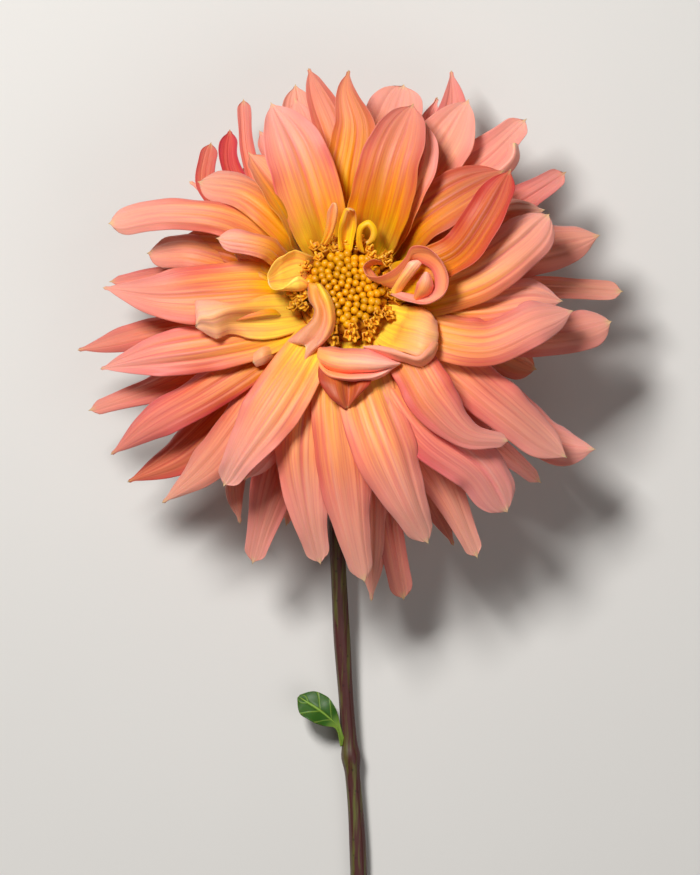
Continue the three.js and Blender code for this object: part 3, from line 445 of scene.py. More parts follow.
        [(-8.5, -31, 13), (-3, -32, 14.5), (1.2, -32, 10.5), (5, -31.5, 14.5), (8.7, -31, 14)],
        [(-5, -36, 14.5), (-1.5, -36.8, 15.5), (1.2, -36.5, 12), (3.5, -35.5, 15.5), (5.5, -34.5, 15)],
        [(-0.5, -39.6, 14), (0.3, -39.8, 13.8), (0.9, -39.4, 13.2), (1.3, -39, 13.8), (1.6, -38, 14)],
    ]),
    # left: a petal with a creased, twisted end
    dict(row=None, gold=25, tone=0.9, start=12, net=[
        [(-13, -2, -4), (-14, -5, -4.5), (-14, -8.5, -4), (-12.5, -12, -3)],
        [(-17, -1.5, 0), (-17.5, -5, -0.5), (-17.5, -9, -1), (-16, -13.5, 0)],
        [(-26, -1, 5), (-26, -5.5, 5), (-26, -10, 3), (-25, -16, 3.5)],
        [(-34, -3, 8), (-34, -5.7, 9.5), (-34, -10, 5), (-32, -16, 4.5)],
        [(-40, -3.8, 10), (-40, -6.5, 11.5), (-39.5, -10.5, 7.5), (-39, -14.5, 4.5)],
        [(-46, -2.8, 8), (-45.5, -8.3, 11.5), (-44, -12, 9.5), (-43, -16, 7)],
        [(-51, -3.5, 4.5), (-49.8, -9.5, 9), (-49.5, -11.2, 8), (-46, -15.2, 6.5)],
        [(-51, -4.5, 3.5), (-50.5, -11, 7.5), (-50.7, -12, 7.2), (-48.5, -13.5, 6.5)],
    ]),
    # left below: a small turned-over petal
    dict(row=3, gold=16, tone=0.8, hue=0.5, net=[
        [(-23.5, -22, 1), (-24.3, -20.5, 2.5), (-25, -18.5, 2)],
        [(-27, -24.4, 3.5), (-28, -21.8, 5.5), (-28.5, -19, 4)],
        [(-30, -25.6, 2.5), (-31.3, -23.9, 3.5), (-32.5, -22.3, 2.5)],
    ]),
    # top right: the curled strip on a back petal's edge
    dict(row=4, gold=8, net=[
        [(42, 32, -13), (41, 34, -11), (39, 35, -13)],
        [(53.5, 38, -13), (51.5, 40.5, -10), (49, 42, -13)],
        [(59.5, 46, -13), (57.5, 47, -10), (55, 46.5, -13)],
        [(59, 50.5, -13), (57.8, 51, -11), (56.3, 51, -13)],
    ]),
]

# Hidden petals behind those, by rule: ring, how many, first bearing, reach, how far below
# the disc their tips are, and width. The last ring lies down on the surface at its tips.
BACK_RINGS = [
    dict(row=3, count=9, turn=20, reach=50, drop=24, width=15, landing=False),
    dict(row=4, count=11, turn=4, reach=60, drop=30, width=15, landing=False),
    dict(row=5, count=12, turn=16, reach=63, drop=38, width=15, landing=False),
    dict(row=5, count=6, turn=12, reach=60, drop=46, width=16, landing=False),
    dict(row=6, count=8, turn=22, reach=56, drop=60, width=15, landing=True),
    dict(row=6, count=8, turn=0, reach=50, drop=52, width=13, landing=False),
]

# Where the stem runs out, as a bearing, and how many degrees to each side of it the rings
# from this one down stay free of petals. A tip that doesn't lie down stays this far, in
# millimetres, above the surface.
STEM_SIDE = 270
STEM_CLEARANCE = 20
LOW_RINGS = 5
LEAST_CLEARANCE = 6

# The stem: its middle line from the bracts to the cut end, its radius, where the swollen
# node sits as a share of its length, and the hollow at the cut
STEM_TOP_DEPTH = HEAD_DEPTH + 4.6
STEM_RADIUS = 2.8
STEM_NODE_PLACE = 0.665
STEM_ROUTE = [
    (0, -11.5, -35.5), (-0.5, -16.5, -42.5), (-1, -26, -46.5), (-2, -50, -48.5), (-2.7, -78, -50.2),
    (-1.5, -110, -51.8), (0.8, -145, -53.6), (4, -183, -55.4), (5.5, -240, FLOOR + STEM_RADIUS),
]
STEM_HOLLOW_RADIUS = 1.5
STEM_HOLLOW_DEPTH = 14
STEM_SAMPLES = 160

# What the stem's radius gains at its top and at its node, as a height and a share of its
# length, and its slow unevenness and its ribs, as a height and turns
STEM_FLARE = (0.9, 0.012)
STEM_SWELLING = (0.75, 0.014)
STEM_SLIM = ((0.15, 17), (0.08, 41))
STEM_RIBS = ((0.1, 6), (0.05, 11))
STEM_RIB_TWIST = 3

# A bract: half its thickness, its points along and across, and its shape in millimetres and
# radians as it leaves the cup and bends down
BRACT_HALF = 0.35
BRACT_STATIONS = 9
BRACT_ACROSS = 7
BRACT_FOOT = 6.5
BRACT_REACH = 9
BRACT_DROP = 12
BRACT_BEND = 1.1
BRACT_HALF_WIDTH = 3.6
BRACT_SINK = 1.5
BRACT_SAG = 1.5

# The small leaf: its thickness, its faces across and along, the wave of its edges as a height
# and radians along it, and the groove of its midrib as a depth and a half width. Then the
# place, width, roll and curl at its stations.
LEAF_THICKNESS = 0.5
LEAF_FACES = (24, 60)
LEAF_WAVE = (0.5, 14)
LEAF_GROOVE = (0.35, 0.1)
LEAF_STATIONS = [
    (-0.7, -155.5, -53.5, 2, 0, 90),
    (-3, -148.5, -50.5, 2.6, 0, 90),
    (-6, -145.5, -49.5, 8, -10, 60),
    (-10, -142.5, -49, 11, 10, 30),
    (-14, -140, -51, 7, -5, 50),
    (-16, -138.7, -52, 1.4, 0, 60),
]

# Petal patterns as cells of noise in a millimetre across and along, and for its own seed:
# golden streaks about 2 mm wide and 33 long, bands about 3 wide and 83 long, and veins 29 long
STREAK_CELLS = (0.45, 0.03, 1)
BAND_CELLS = (0.3, 0.012, 1)
VEIN_CELLS_ALONG = 0.035

# Stem, bract and head patterns: streaks of a second colour, as their width in metres and how
# many times longer they are, and small dots about 2.4 mm apart
STEM_STREAKS = (0.0016, 14)
BRACT_STREAKS = (0.0012, 1)
HEAD_STREAKS = (0.002, 1)
CHAFF_STREAKS = (0.0015, 1)
DOTS_PER_METRE = 420

# Leaf veins, in millimetres: how far apart the side veins are, and how they lean to the tip
LEAF_VEIN_SPACING = 5.2
LEAF_VEIN_LEAN = -0.9


def linear(code):
    """Linear red, green and blue of an sRGB hex colour."""
    shares = [int(code[k:k + 2], 16) / 255 for k in (1, 3, 5)]
    return tuple(s / 12.92 if s <= 0.04045 else ((s + 0.055) / 1.055) ** 2.4 for s in shares)


def colour_property(name, code, description):
    """A colour that a user would change, with its default as an sRGB hex colour."""
    return bpy.props.FloatVectorProperty(
        name=name, description=description, subtype="COLOR", size=3, min=0, max=1, default=linear(code))


def length_property(name, default, description):
    """A length in metres that a user would change."""
    return bpy.props.FloatProperty(name=name, description=description, unit="LENGTH", default=default)


class PetalSettings(bpy.types.PropertyGroup):
    """Sizes and colours of the petals."""
    thickness: length_property("Thickness", 0.45 * MM, "Thickness of a petal along its middle")
    groove: length_property("Groove depth", 0.6 * MM, "Depth of the long grooves on a petal's face")
    ripple: length_property("Edge ripple", 0.5 * MM, "Height of the waves along a petal's edges")
    vein_spacing: length_property("Vein spacing", 0.65 * MM, "Distance between the fine long veins")
    across: bpy.props.IntProperty(name="Faces across", description="Faces across a petal", default=38)
    along: bpy.props.IntProperty(name="Faces along", description="Faces along a petal", default=40)
    golden: colour_property("Golden base", "#FFC40A", "Colour where a petal leaves the disc")
    amber: colour_property("Amber", "#FFA430", "Colour where the golden base ends")
    peach: colour_property("Peach", "#FF9A54", "Colour of a petal's lower half")
    coral: colour_property("Coral", "#F28768", "Colour of a petal's upper half")
    # The blush is also painted on the lips beside the creases as a painted highlight, and the vein colours go
    # into the creases as painted shade
    blush: colour_property("Blush", "#F6B2A2", "Colour of a petal's tip and of the lips beside its creases")
    rose: colour_property("Rose edge", "#D84E50", "Colour along a petal's edges and veins")
    vein_gold: colour_property("Golden veins", "#EE7A12", "Colour of the veins in the golden base")
    reverse: colour_property("Reverse", "#F39C7C", "Colour of a petal's back")
    horn: colour_property("Tip", "#D9BE86", "Colour of the small point at a petal's tip")


class DiscSettings(bpy.types.PropertyGroup):
    """Sizes and colours of the disc, the head and the bracts."""
    buds: bpy.props.IntProperty(name="Closed florets", description="Closed florets on the disc", default=96)
    bud_width: length_property("Closed floret width", 2.8 * MM, "Width of a closed floret in the middle")
    open_florets: bpy.props.IntProperty(
        name="Open florets", description="Opened florets round the disc", default=52)
    bracts: bpy.props.IntProperty(name="Bracts", description="Green bracts behind the head", default=8)
    bud_yellow: colour_property("Closed floret", "#E09C00", "Colour of a closed floret's top")
    # Painted shade: the brown at the floret feet, on the disc floor between them and on the head
    painted_shade_brown: colour_property("Floret foot", "#BC6A0A", "Colour between and under the florets")
    style_yellow: colour_property("Style", "#F7B224", "Colour of the curled styles")
    # Streaks on the head, in the same painted shade
    head_shade_streak: colour_property("Head streaks", "#8A6A1E", "Colour of the streaks on the head")
    green: colour_property("Bract green", "#5E7A2C", "Colour of the bracts")
    green_streak: colour_property("Bract streaks", "#7C8F3E", "Colour of the streaks on the bracts")


class StemSettings(bpy.types.PropertyGroup):
    """Sizes and colours of the stem and the leaf."""
    sides: bpy.props.IntProperty(name="Sides", description="Faces round the stem", default=32)
    maroon: colour_property("Stem maroon", "#4A201C", "Main colour of the stem")
    olive: colour_property("Stem streaks", "#5B5A22", "Colour of the stem's streaks")
    leaf_green: colour_property("Leaf green", "#2F5A12", "Colour of the leaf's blade")
    vein_green: colour_property("Leaf veins", "#7FA03A", "Colour of the leaf's veins and stalk")


class StageSettings(bpy.types.PropertyGroup):
    """Floor and light."""
    floor: colour_property("Floor", "#D8D5D0", "Colour of the plain floor")
    key_power: bpy.props.FloatProperty(
        name="Key light", description="Power of the key light", default=15, unit="POWER")
    fill_power: bpy.props.FloatProperty(
        name="Fill light", description="Power of the fill light", default=2.5, unit="POWER")
    ambient: bpy.props.FloatProperty(name="Ambient", description="Strength of the even light", default=0.035)


def unit(vectors):
    """Vectors scaled to length one."""
    return vectors / np.linalg.norm(vectors, axis=-1, keepdims=True)


def smooth(value, low, high):
    """Smooth step from 0 at low to 1 at high."""
    t = np.clip((value - low) / (high - low), 0, 1)
    return t * t * (3 - 2 * t)


BLOOM_AXIS = np.array([0, math.sin(math.radians(TILT)), math.cos(math.radians(TILT))])
BLOOM_UP = np.array([0, math.cos(math.radians(TILT)), -math.sin(math.radians(TILT))])
BLOOM_RIGHT = np.array([1.0, 0, 0])


def outward(bearing):
    """Direction away from the bloom's axis at a bearing, from +X towards the top petals."""
    return BLOOM_RIGHT * math.cos(math.radians(bearing)) + BLOOM_UP * math.sin(math.radians(bearing))


def in_bloom(radius, bearing, depth):
    """Point in the bloom at a radius, a bearing and a depth behind the disc's face."""
    return outward(bearing) * radius - BLOOM_AXIS * depth


def bearing_of(point):
    """Bearing of a point round the bloom's axis."""
    return math.degrees(math.atan2(np.dot(point, BLOOM_UP), np.dot(point, BLOOM_RIGHT)))


def curve_through(rows, places, shares):
    """Smooth values, at shares of the way, through rows of numbers at rising places."""
    rows = np.asarray(rows, float)
    places = np.asarray(places, float)
    steps = np.diff(places)[:, None]
    slopes = np.diff(rows, axis=0) / steps
    tangents = np.concatenate([slopes[:1], slopes])
    tangents[1:-1] = (slopes[1:] * steps[:-1] + slopes[:-1] * steps[1:]) / (steps[:-1] + steps[1:])
    k = np.clip(np.searchsorted(places, shares) - 1, 0, len(steps) - 1)
    span = steps[k]
    t = ((shares - places[k])[:, None]) / span
    return (
        (2 * t ** 3 - 3 * t ** 2 + 1) * rows[k]
        + (t ** 3 - 2 * t ** 2 + t) * span * tangents[k]
        + (3 * t ** 2 - 2 * t ** 3) * rows[k + 1]
        + (t ** 3 - t ** 2) * span * tangents[k + 1]
    )


def chain_places(points):
    """Places of points along their chain, from 0 to 1."""
    lengths = np.linalg.norm(np.diff(points, axis=0), axis=1)
    places = np.concatenate([[0], np.cumsum(lengths)])
    return places / places[-1]


def root_points(row, bearing):
    """The two points where a petal of a ring leaves the head: sunk in it, and just outside."""
    radius, depth, rise = ROWS[row]
    leaving = outward(bearing) * math.cos(math.radians(rise)) + BLOOM_AXIS * math.sin(math.radians(rise))
    rim = in_bloom(radius, bearing, depth)
    return [rim - leaving * ROOT_SINK, rim + leaving * ROOT_SINK]


def width_share(shares, end, width, length):
    """Share of a petal's width along it, for the way that it ends."""
    taper, reach, fullness, roundness, _ = ENDS[end]
    closes = max(1 - reach * width / length, WIDEST_AT)
    swell = np.sin(math.pi / 2 * np.minimum(shares / WIDEST_AT, 1)) ** 0.7
    body = (BASE_SHARE + (1 - BASE_SHARE) * swell) * (1 + (taper - 1) * smooth(shares, WIDEST_AT, 1))
    closing = np.maximum((shares - closes) / (1 - closes), 0)
    return np.maximum(body * (1 - closing ** fullness) ** roundness, POINT_WIDTH / width)


def shares_of(count):
    """Sample places along a blade, closer together where its end closes."""
    return 1 - (1 - np.linspace(0, 1, count + 1)) ** 1.25


class Blade:
    """The middle surface of one petal, strap or leaf: points, normals and what its skin reads."""
    look = PLAIN_LOOK
    seed = 0.0
    start = 0.0

    def __init__(self, points, shapes, shares, across, places=None):
        """Points of the midrib, and width, roll and curl at places along it."""
        points = np.asarray(points, float)
        stops = chain_places(points)
        self.shares = shares
        self.columns = np.linspace(-1, 1, across + 1)
        width, roll, curl = curve_through(shapes, stops if places is None else places, shares).T
        self.width = np.maximum(width, POINT_WIDTH)
        centre = curve_through(points, stops, shares)
        step = 0.01
        ahead = curve_through(points, stops, np.minimum(shares + step, 1))
        behind = curve_through(points, stops, np.maximum(shares - step, 0))
        along = unit(ahead - behind)
        chord = unit(points[-1] - points[0])
        side = np.cross(BLOOM_AXIS, along + 0.35 * chord)
        side = unit(side - along * np.sum(side * along, axis=1, keepdims=True))
        turn = np.radians(roll)[:, None]
        side = side * np.cos(turn) + np.cross(along, side) * np.sin(turn)
        face = np.cross(along, side)
        half = np.radians(curl) / 2
        half = np.where(np.abs(half) < 1e-4, 1e-4, half)
        radius = self.width / 2 / np.sin(np.clip(half, -1.4, 1.4))
        bend = half[:, None] * self.columns[None, :]
        swing = (radius[:, None] * np.sin(bend))[..., None]
        lift = (radius[:, None] * (1 - np.cos(bend)))[..., None]
        self.points = centre[:, None] + side[:, None] * swing + face[:, None] * lift
        self.normals = face[:, None] * np.cos(bend)[..., None] - side[:, None] * np.sin(bend)[..., None]
        self.along = np.broadcast_to(along[:, None], self.points.shape)
        self.length = np.linalg.norm(np.diff(centre, axis=0), axis=1).sum()
        self.fold = np.zeros(self.points.shape[:2])

    @classmethod
    def from_points(cls, points, shares, columns):
        """A blade over a grid of points."""
        blade = cls.__new__(cls)
        blade.points, blade.shares, blade.columns = points, shares, columns
        along = unit(np.gradient(points, axis=0))
        blade.normals = unit(np.cross(along, np.gradient(points, axis=1)))
        blade.along = along
        blade.width = np.linalg.norm(np.diff(points, axis=1), axis=2).sum(axis=1)
        middle = points[:, len(columns) // 2]
        blade.length = np.linalg.norm(np.diff(middle, axis=0), axis=1).sum()
        blade.fold = np.zeros(points.shape[:2])
        return blade

    def relief(self, height):
        """Raises the surface by a height in millimetres at each point."""
        self.points = self.points + self.normals * height[..., None]


def sine_sum(parts, phases, v):
    """Sum of waves along a petal, each with its turns from base to tip and its share."""
    (turns, share), (finer, less) = parts
    first = share * np.sin(2 * math.pi * turns * v + phases[0])
    return first + less * np.sin(2 * math.pi * finer * v + phases[1])


def petal_relief(blade, settings, draw, depth=1.0):
    """Creases, low waves and rippled edges on a petal, as heights in millimetres."""
    u = blade.columns[None, :]
    v = blade.shares[:, None]
    wide = np.clip(blade.width / FULL_DEPTH_WIDTH, 0.25, 1.2)[:, None]
    body = smooth(v, 0.12, 0.35) * (1 - 0.4 * smooth(v, 0.85, 1))
    groove = settings.groove / MM * draw.uniform(0.7, 1.3) * depth * body * wide
    height = np.zeros(blade.points.shape[:2])
    for place, most in CREASES:
        middle = place + 0.1 * draw.uniform(-1, 1) + 0.08 * draw.uniform(-1, 1) * (v - 0.5)
        share = most * draw.uniform(0.25, 1.0)
        height = height - share * groove * np.exp(-((u - middle) / CREASE_WIDTH) ** 2)
        height = height + LIP_SHARE * share * groove * np.exp(-((u - middle - LIP_ASIDE) / LIP_WIDTH) ** 2)
    blade.fold = height
    for turns, share in RIDGES:
        start, drift = draw.uniform(0, 2 * math.pi), draw.uniform(-0.6, 0.6)
        height = height + share * groove * np.cos(u * turns * math.pi + start + drift * v)
    phases = draw.uniform(0, 2 * math.pi, 6)
    waves = sine_sum(WAVES, phases[[0, 1]], v)
    height = height + WAVE_HEIGHT * depth * wide * body * waves * (0.4 + u * np.sin(phases[2]))
    ripple = settings.ripple / MM * depth * wide * smooth(v, 0.2, 0.5) * (1 - smooth(v, 0.9, 1))
    left = sine_sum(LEFT_RIPPLES, phases[[3, 4]], v)
    right = sine_sum(RIGHT_RIPPLES, phases[[5, 0]], v)
    return height + ripple * (left * np.clip(u, 0, 1) ** 3 + right * np.clip(-u, 0, 1) ** 3)


def end_shape(blade, end):
    """Draws the end out to its small point and rounds its corners."""
    mucro = ENDS[end][4]
    u = blade.columns[None, :]
    v = blade.shares[:, None]
    near = smooth(v, 0.9, 1)
    push = mucro * near * (np.exp(-(u / 0.28) ** 2) - 0.8 * u ** 4)
    blade.points = blade.points + blade.along * push[..., None]


def petal_look(entry, draw, spread):
    """Tone, hue and golden base of a petal: its entry's, or drawn at random."""
    tone, hue = draw.uniform(-1, 1, 2)
    return entry.get("tone", 0) + spread * tone, entry.get("hue", hue), entry.get("gold", GOLD)


def petal(entry, settings, draw, faces):
    """A petal of the table as a blade, with so many faces across and along."""
    first = np.array(entry["path"][0], float)
    points = root_points(entry["row"], bearing_of(first)) + [np.array(p, float) for p in entry["path"]]
    shares = shares_of(faces[1])
    roll = curve_through([(r,) for r in entry.get("roll", (0, 0, 0))], (0, 0.5, 1), shares)[:, 0]
    curl = curve_through([(c,) for c in entry["cup"]], (0, 0.5, 1), shares)[:, 0]
    length = np.linalg.norm(np.diff(points, axis=0), axis=1).sum()
    width = entry["width"] * width_share(shares, entry["end"], entry["width"], length)
    blade = Blade(points, np.stack([width, roll, curl], axis=1), shares, faces[0], places=shares)
    blade.relief(petal_relief(blade, settings, draw))
    end_shape(blade, entry["end"])
    blade.look = petal_look(entry, draw, spread=0.5)
    blade.seed = draw.uniform(0, 100)
    return blade


def folded_petal(entry, settings, draw):
    """A curled petal as a blade through its net of points."""
    along, across, root_share = 64, 24, 0.5
    net = np.array(entry["net"], float)
    if entry["row"] is not None:
        middle = net[0].mean(axis=0)
        roots = root_points(entry["row"], bearing_of(middle))
        net = np.concatenate([[root + (net[0] - middle) * root_share for root in roots], net])
    stations, count = net.shape[:2]
    shares = np.linspace(0, 1, along + 1)
    columns = np.linspace(-1, 1, across + 1)
    stops = chain_places(net.mean(axis=1))
    lines = curve_through(net.reshape(stations, -1), stops, shares).reshape(len(shares), count, 3)
    spread = chain_places(net.mean(axis=0))
    flat = lines.transpose(1, 0, 2).reshape(count, -1)
    points = curve_through(flat, spread, (columns + 1) / 2).reshape(len(columns), len(shares), 3)
    blade = Blade.from_points(points.transpose(1, 0, 2), shares, columns)
    blade.relief(petal_relief(blade, settings, draw, depth=0.35))
    blade.look = petal_look(entry, draw, spread=0.3)
    blade.start = entry.get("start", 0)
    blade.seed = draw.uniform(0, 100)
    return blade


def back_petal(ring, bearing, share):
    """Entry of a hidden petal at a bearing: it arches out and down, and may lie down at its tip."""
    landing = ring["landing"]
    reach = ring["reach"] * (1 - 0.08 * share)
    tip_at = in_bloom(reach, bearing, 0)
    low = FLOOR if landing else max(-ring["drop"], FLOOR + LEAST_CLEARANCE)
    middle = in_bloom(reach * 0.55, bearing, ROWS[ring["row"]][1] + (14 if landing else 2))
    settled = (tip_at[0] * 0.84, tip_at[1] * 0.84, low + (0.4 if landing else 5))
    tip = (tip_at[0], tip_at[1], low + (0.3 if landing else 0))
    return dict(
        row=ring["row"], width=ring["width"], end="round", cup=(60, 40, 8 if landing else 60),
        path=[tuple(middle), settled, tip])


def back_petals():
    """Entries of the hidden petals, clear of the stem."""
    golden_share = 0.618
    entries = []
    for ring in BACK_RINGS:
        bearings = [ring["turn"] + 360 * n / ring["count"] for n in range(ring["count"])]
        high = ring["row"] < LOW_RINGS
        clear = [b for b in bearings if high or abs(b % 360 - STEM_SIDE) > STEM_CLEARANCE]
        entries += [back_petal(ring, b, (n * golden_share) % 1) for n, b in enumerate(clear)]
    return entries


def sheet_faces(rows, across):
    """Faces of a closed sheet over a grid: its front, its back, whose corners follow, and its rim."""
    index = np.arange(rows * across).reshape(rows, across)
    a, b = index[:-1, :-1].ravel(), index[:-1, 1:].ravel()
    d, e = index[1:, :-1].ravel(), index[1:, 1:].ravel()
    rim = np.concatenate([index[0, :], index[1:, -1], index[-1, -2::-1], index[-2:0:-1, 0]])
    after = np.roll(rim, -1)
    return np.concatenate([
        np.stack([a, d, e, b], axis=1),
        np.stack([a, b, e, d], axis=1) + index.size,
        np.stack([rim, after, after + index.size, rim + index.size], axis=1),
    ])


def closed_mesh(name, blades, thickness):
    """One mesh of closed sheets on the blades' middle surfaces, with the attributes of their skin."""
    corners, faces, places, shares, looks, folds = [], [], [], [], [], []
    start = 0
    for blade in blades:
        rows, across = blade.points.shape[:2]
        size = rows * across
        u = np.broadcast_to(blade.columns[None, :], (rows, across))
        v = np.broadcast_to(blade.shares[:, None], (rows, across))
        half = (thickness / 2) * (1 - 0.55 * u ** 4) * (1 - 0.4 * smooth(v, 0.9, 1))
        offset = blade.normals * half[..., None]
        lowest = blade.points[..., 2] - np.abs(offset[..., 2])
        points = blade.points + np.maximum(FLOOR + 0.1 - lowest, 0)[..., None] * [0, 0, 1]
        corners.append(np.concatenate([(points + offset).reshape(-1, 3), (points - offset).reshape(-1, 3)]))
        faces.append(sheet_faces(rows, across) + start)
        start += 2 * size
        widest = blade.width.max() / 2
        along = blade.start + v * blade.length
        place = np.stack([u * widest, along, np.full_like(u, blade.seed)], axis=-1)
        places.append(np.tile(place.reshape(-1, 3), (2, 1)))
        share = np.stack([u, v], axis=-1).reshape(-1, 2)
        front = np.repeat([1.0, 0.0], size)[:, None]
        shares.append(np.concatenate([np.tile(share, (2, 1)), front], axis=1))
        looks.append(np.tile(blade.look, (2 * size, 1)))
        folds.append(np.concatenate([blade.fold.ravel(), -blade.fold.ravel()]))
    corners = (np.concatenate(corners) + DISC_AT) * MM
    mesh = plain_mesh(name, corners, np.concatenate(faces))
    for key, rows in (("petal_place", places), ("petal_share", shares), ("petal_look", looks)):
        attribute = mesh.attributes.new(key, "FLOAT_VECTOR", "POINT")
        attribute.data.foreach_set("vector", np.concatenate(rows).astype(np.float32).ravel())
    attribute = mesh.attributes.new("petal_fold", "FLOAT", "POINT")
    attribute.data.foreach_set("value", np.concatenate(folds).astype(np.float32))
    return mesh


def plain_mesh(name, corners, faces):
    """A smooth-shaded mesh from corners in metres and faces."""
    mesh = bpy.data.meshes.new(name)
    mesh.from_pydata(np.asarray(corners).tolist(), [], [list(face) for face in faces])
    mesh.polygons.foreach_set("use_smooth", [True] * len(mesh.polygons))
    mesh.update()
    return mesh


def finish_piece(name, mesh, material, node):
    """Puts a finished mesh in the scene as a piece that stands for a node of the solid model."""
    mesh.materials.clear()
    mesh.materials.append(material)
    piece = bpy.data.objects.new(name, mesh)
    bpy.context.scene.collection.objects.link(piece)
    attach(piece, BODY)
    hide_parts(node)


def lathe(profile, sides, wobble=None):
    """Corners and faces of a shape turned about Z, from a profile that starts and ends on the axis."""
    rings = profile[1:-1]
    angles = np.arange(sides) * 2 * math.pi / sides
    swell = np.ones(sides) if wobble is None else wobble(angles)
    corners = [(0, 0, profile[0][1])]
    for radius, height in rings:
        reaches = radius * swell
        corners += [(r * math.cos(t), r * math.sin(t), height) for t, r in zip(angles, reaches)]
    corners.append((0, 0, profile[-1][1]))
    faces = []
    for k in range(sides):
        n = (k + 1) % sides
        faces.append((0, 1 + n, 1 + k))
        for r in range(len(rings) - 1):
            low = 1 + r * sides
            faces.append((low + k, low + n, low + sides + n, low + sides + k))
        high = 1 + (len(rings) - 1) * sides
        faces.append((high + k, high + n, len(corners) - 1))
    return np.array(corners, float), faces


def tube(route, radii, sides, hollow=None):
    """Corners and faces of a round tube with closed ends along a route, or with a hollow at its end."""
    route = np.asarray(route, float)
    along = unit(np.gradient(route, axis=0))
    across = unit(np.cross(along, BLOOM_RIGHT + 0.001))
    other = np.cross(along, across)
    angles = np.arange(sides) * 2 * math.pi / sides
    forth, aside = np.cos(angles)[None, :, None], np.sin(angles)[None, :, None]
    ring = forth * across[:, None] + aside * other[:, None]
    rings = list(route[:, None] + ring * np.asarray(radii).reshape(len(route), -1, 1))
    if hollow:
        radius, depth = hollow
        for share in (0.0, 0.5, 1.0):
            rings.append(route[-1] - along[-1] * depth * share + ring[-1] * radius * (1 - 0.15 * share))
    corners = np.concatenate(rings + [route[:1], rings[-1].mean(axis=0, keepdims=True)])
    faces = []
    for k in range(sides):
        n = (k + 1) % sides
        for r in range(len(rings) - 1):
            faces.append((r * sides + k, r * sides + n, (r + 1) * sides + n, (r + 1) * sides + k))
        faces.append((n, k, len(corners) - 2))
        last = (len(rings) - 1) * sides
        faces.append((last + k, last + n, len(corners) - 1))
    return corners, faces


def facing_out(mesh):
    """Turns a closed mesh's faces outwards."""
    shape = bmesh.new()
    shape.from_mesh(mesh)
    bmesh.ops.recalc_face_normals(shape, faces=shape.faces)
    shape.to_mesh(mesh)
    shape.free()
    return mesh


def add_node(tree, kind, inputs=None, stops=(), **settings):
    """Adds a node with its settings, gives its inputs values or links, and sets a ramp's stops."""
    node = tree.nodes.new(kind)
    for key, value in settings.items():
        setattr(node, key, value)
    for n, (place, shade) in enumerate(stops):
        element = node.color_ramp.elements[n] if n < 2 else node.color_ramp.elements.new(place)
        element.position = place
        element.color = (*shade, 1)
    for key, value in (inputs or {}).items():
        if isinstance(value, bpy.types.NodeSocket):
            tree.links.new(value, node.inputs[key])
        else:
            node.inputs[key].default_value = value
    return node


def new_material(name, **constants):
    """An empty material with its shader, whose sockets take the constants, and its node tree."""
    material = bpy.data.materials.new(name)
    material.use_nodes = True
    tree = material.node_tree
    shader = tree.nodes["Principled BSDF"]
    for key, value in constants.items():
        shader.inputs[key.replace("_", " ")].default_value = value
    return material, tree, shader


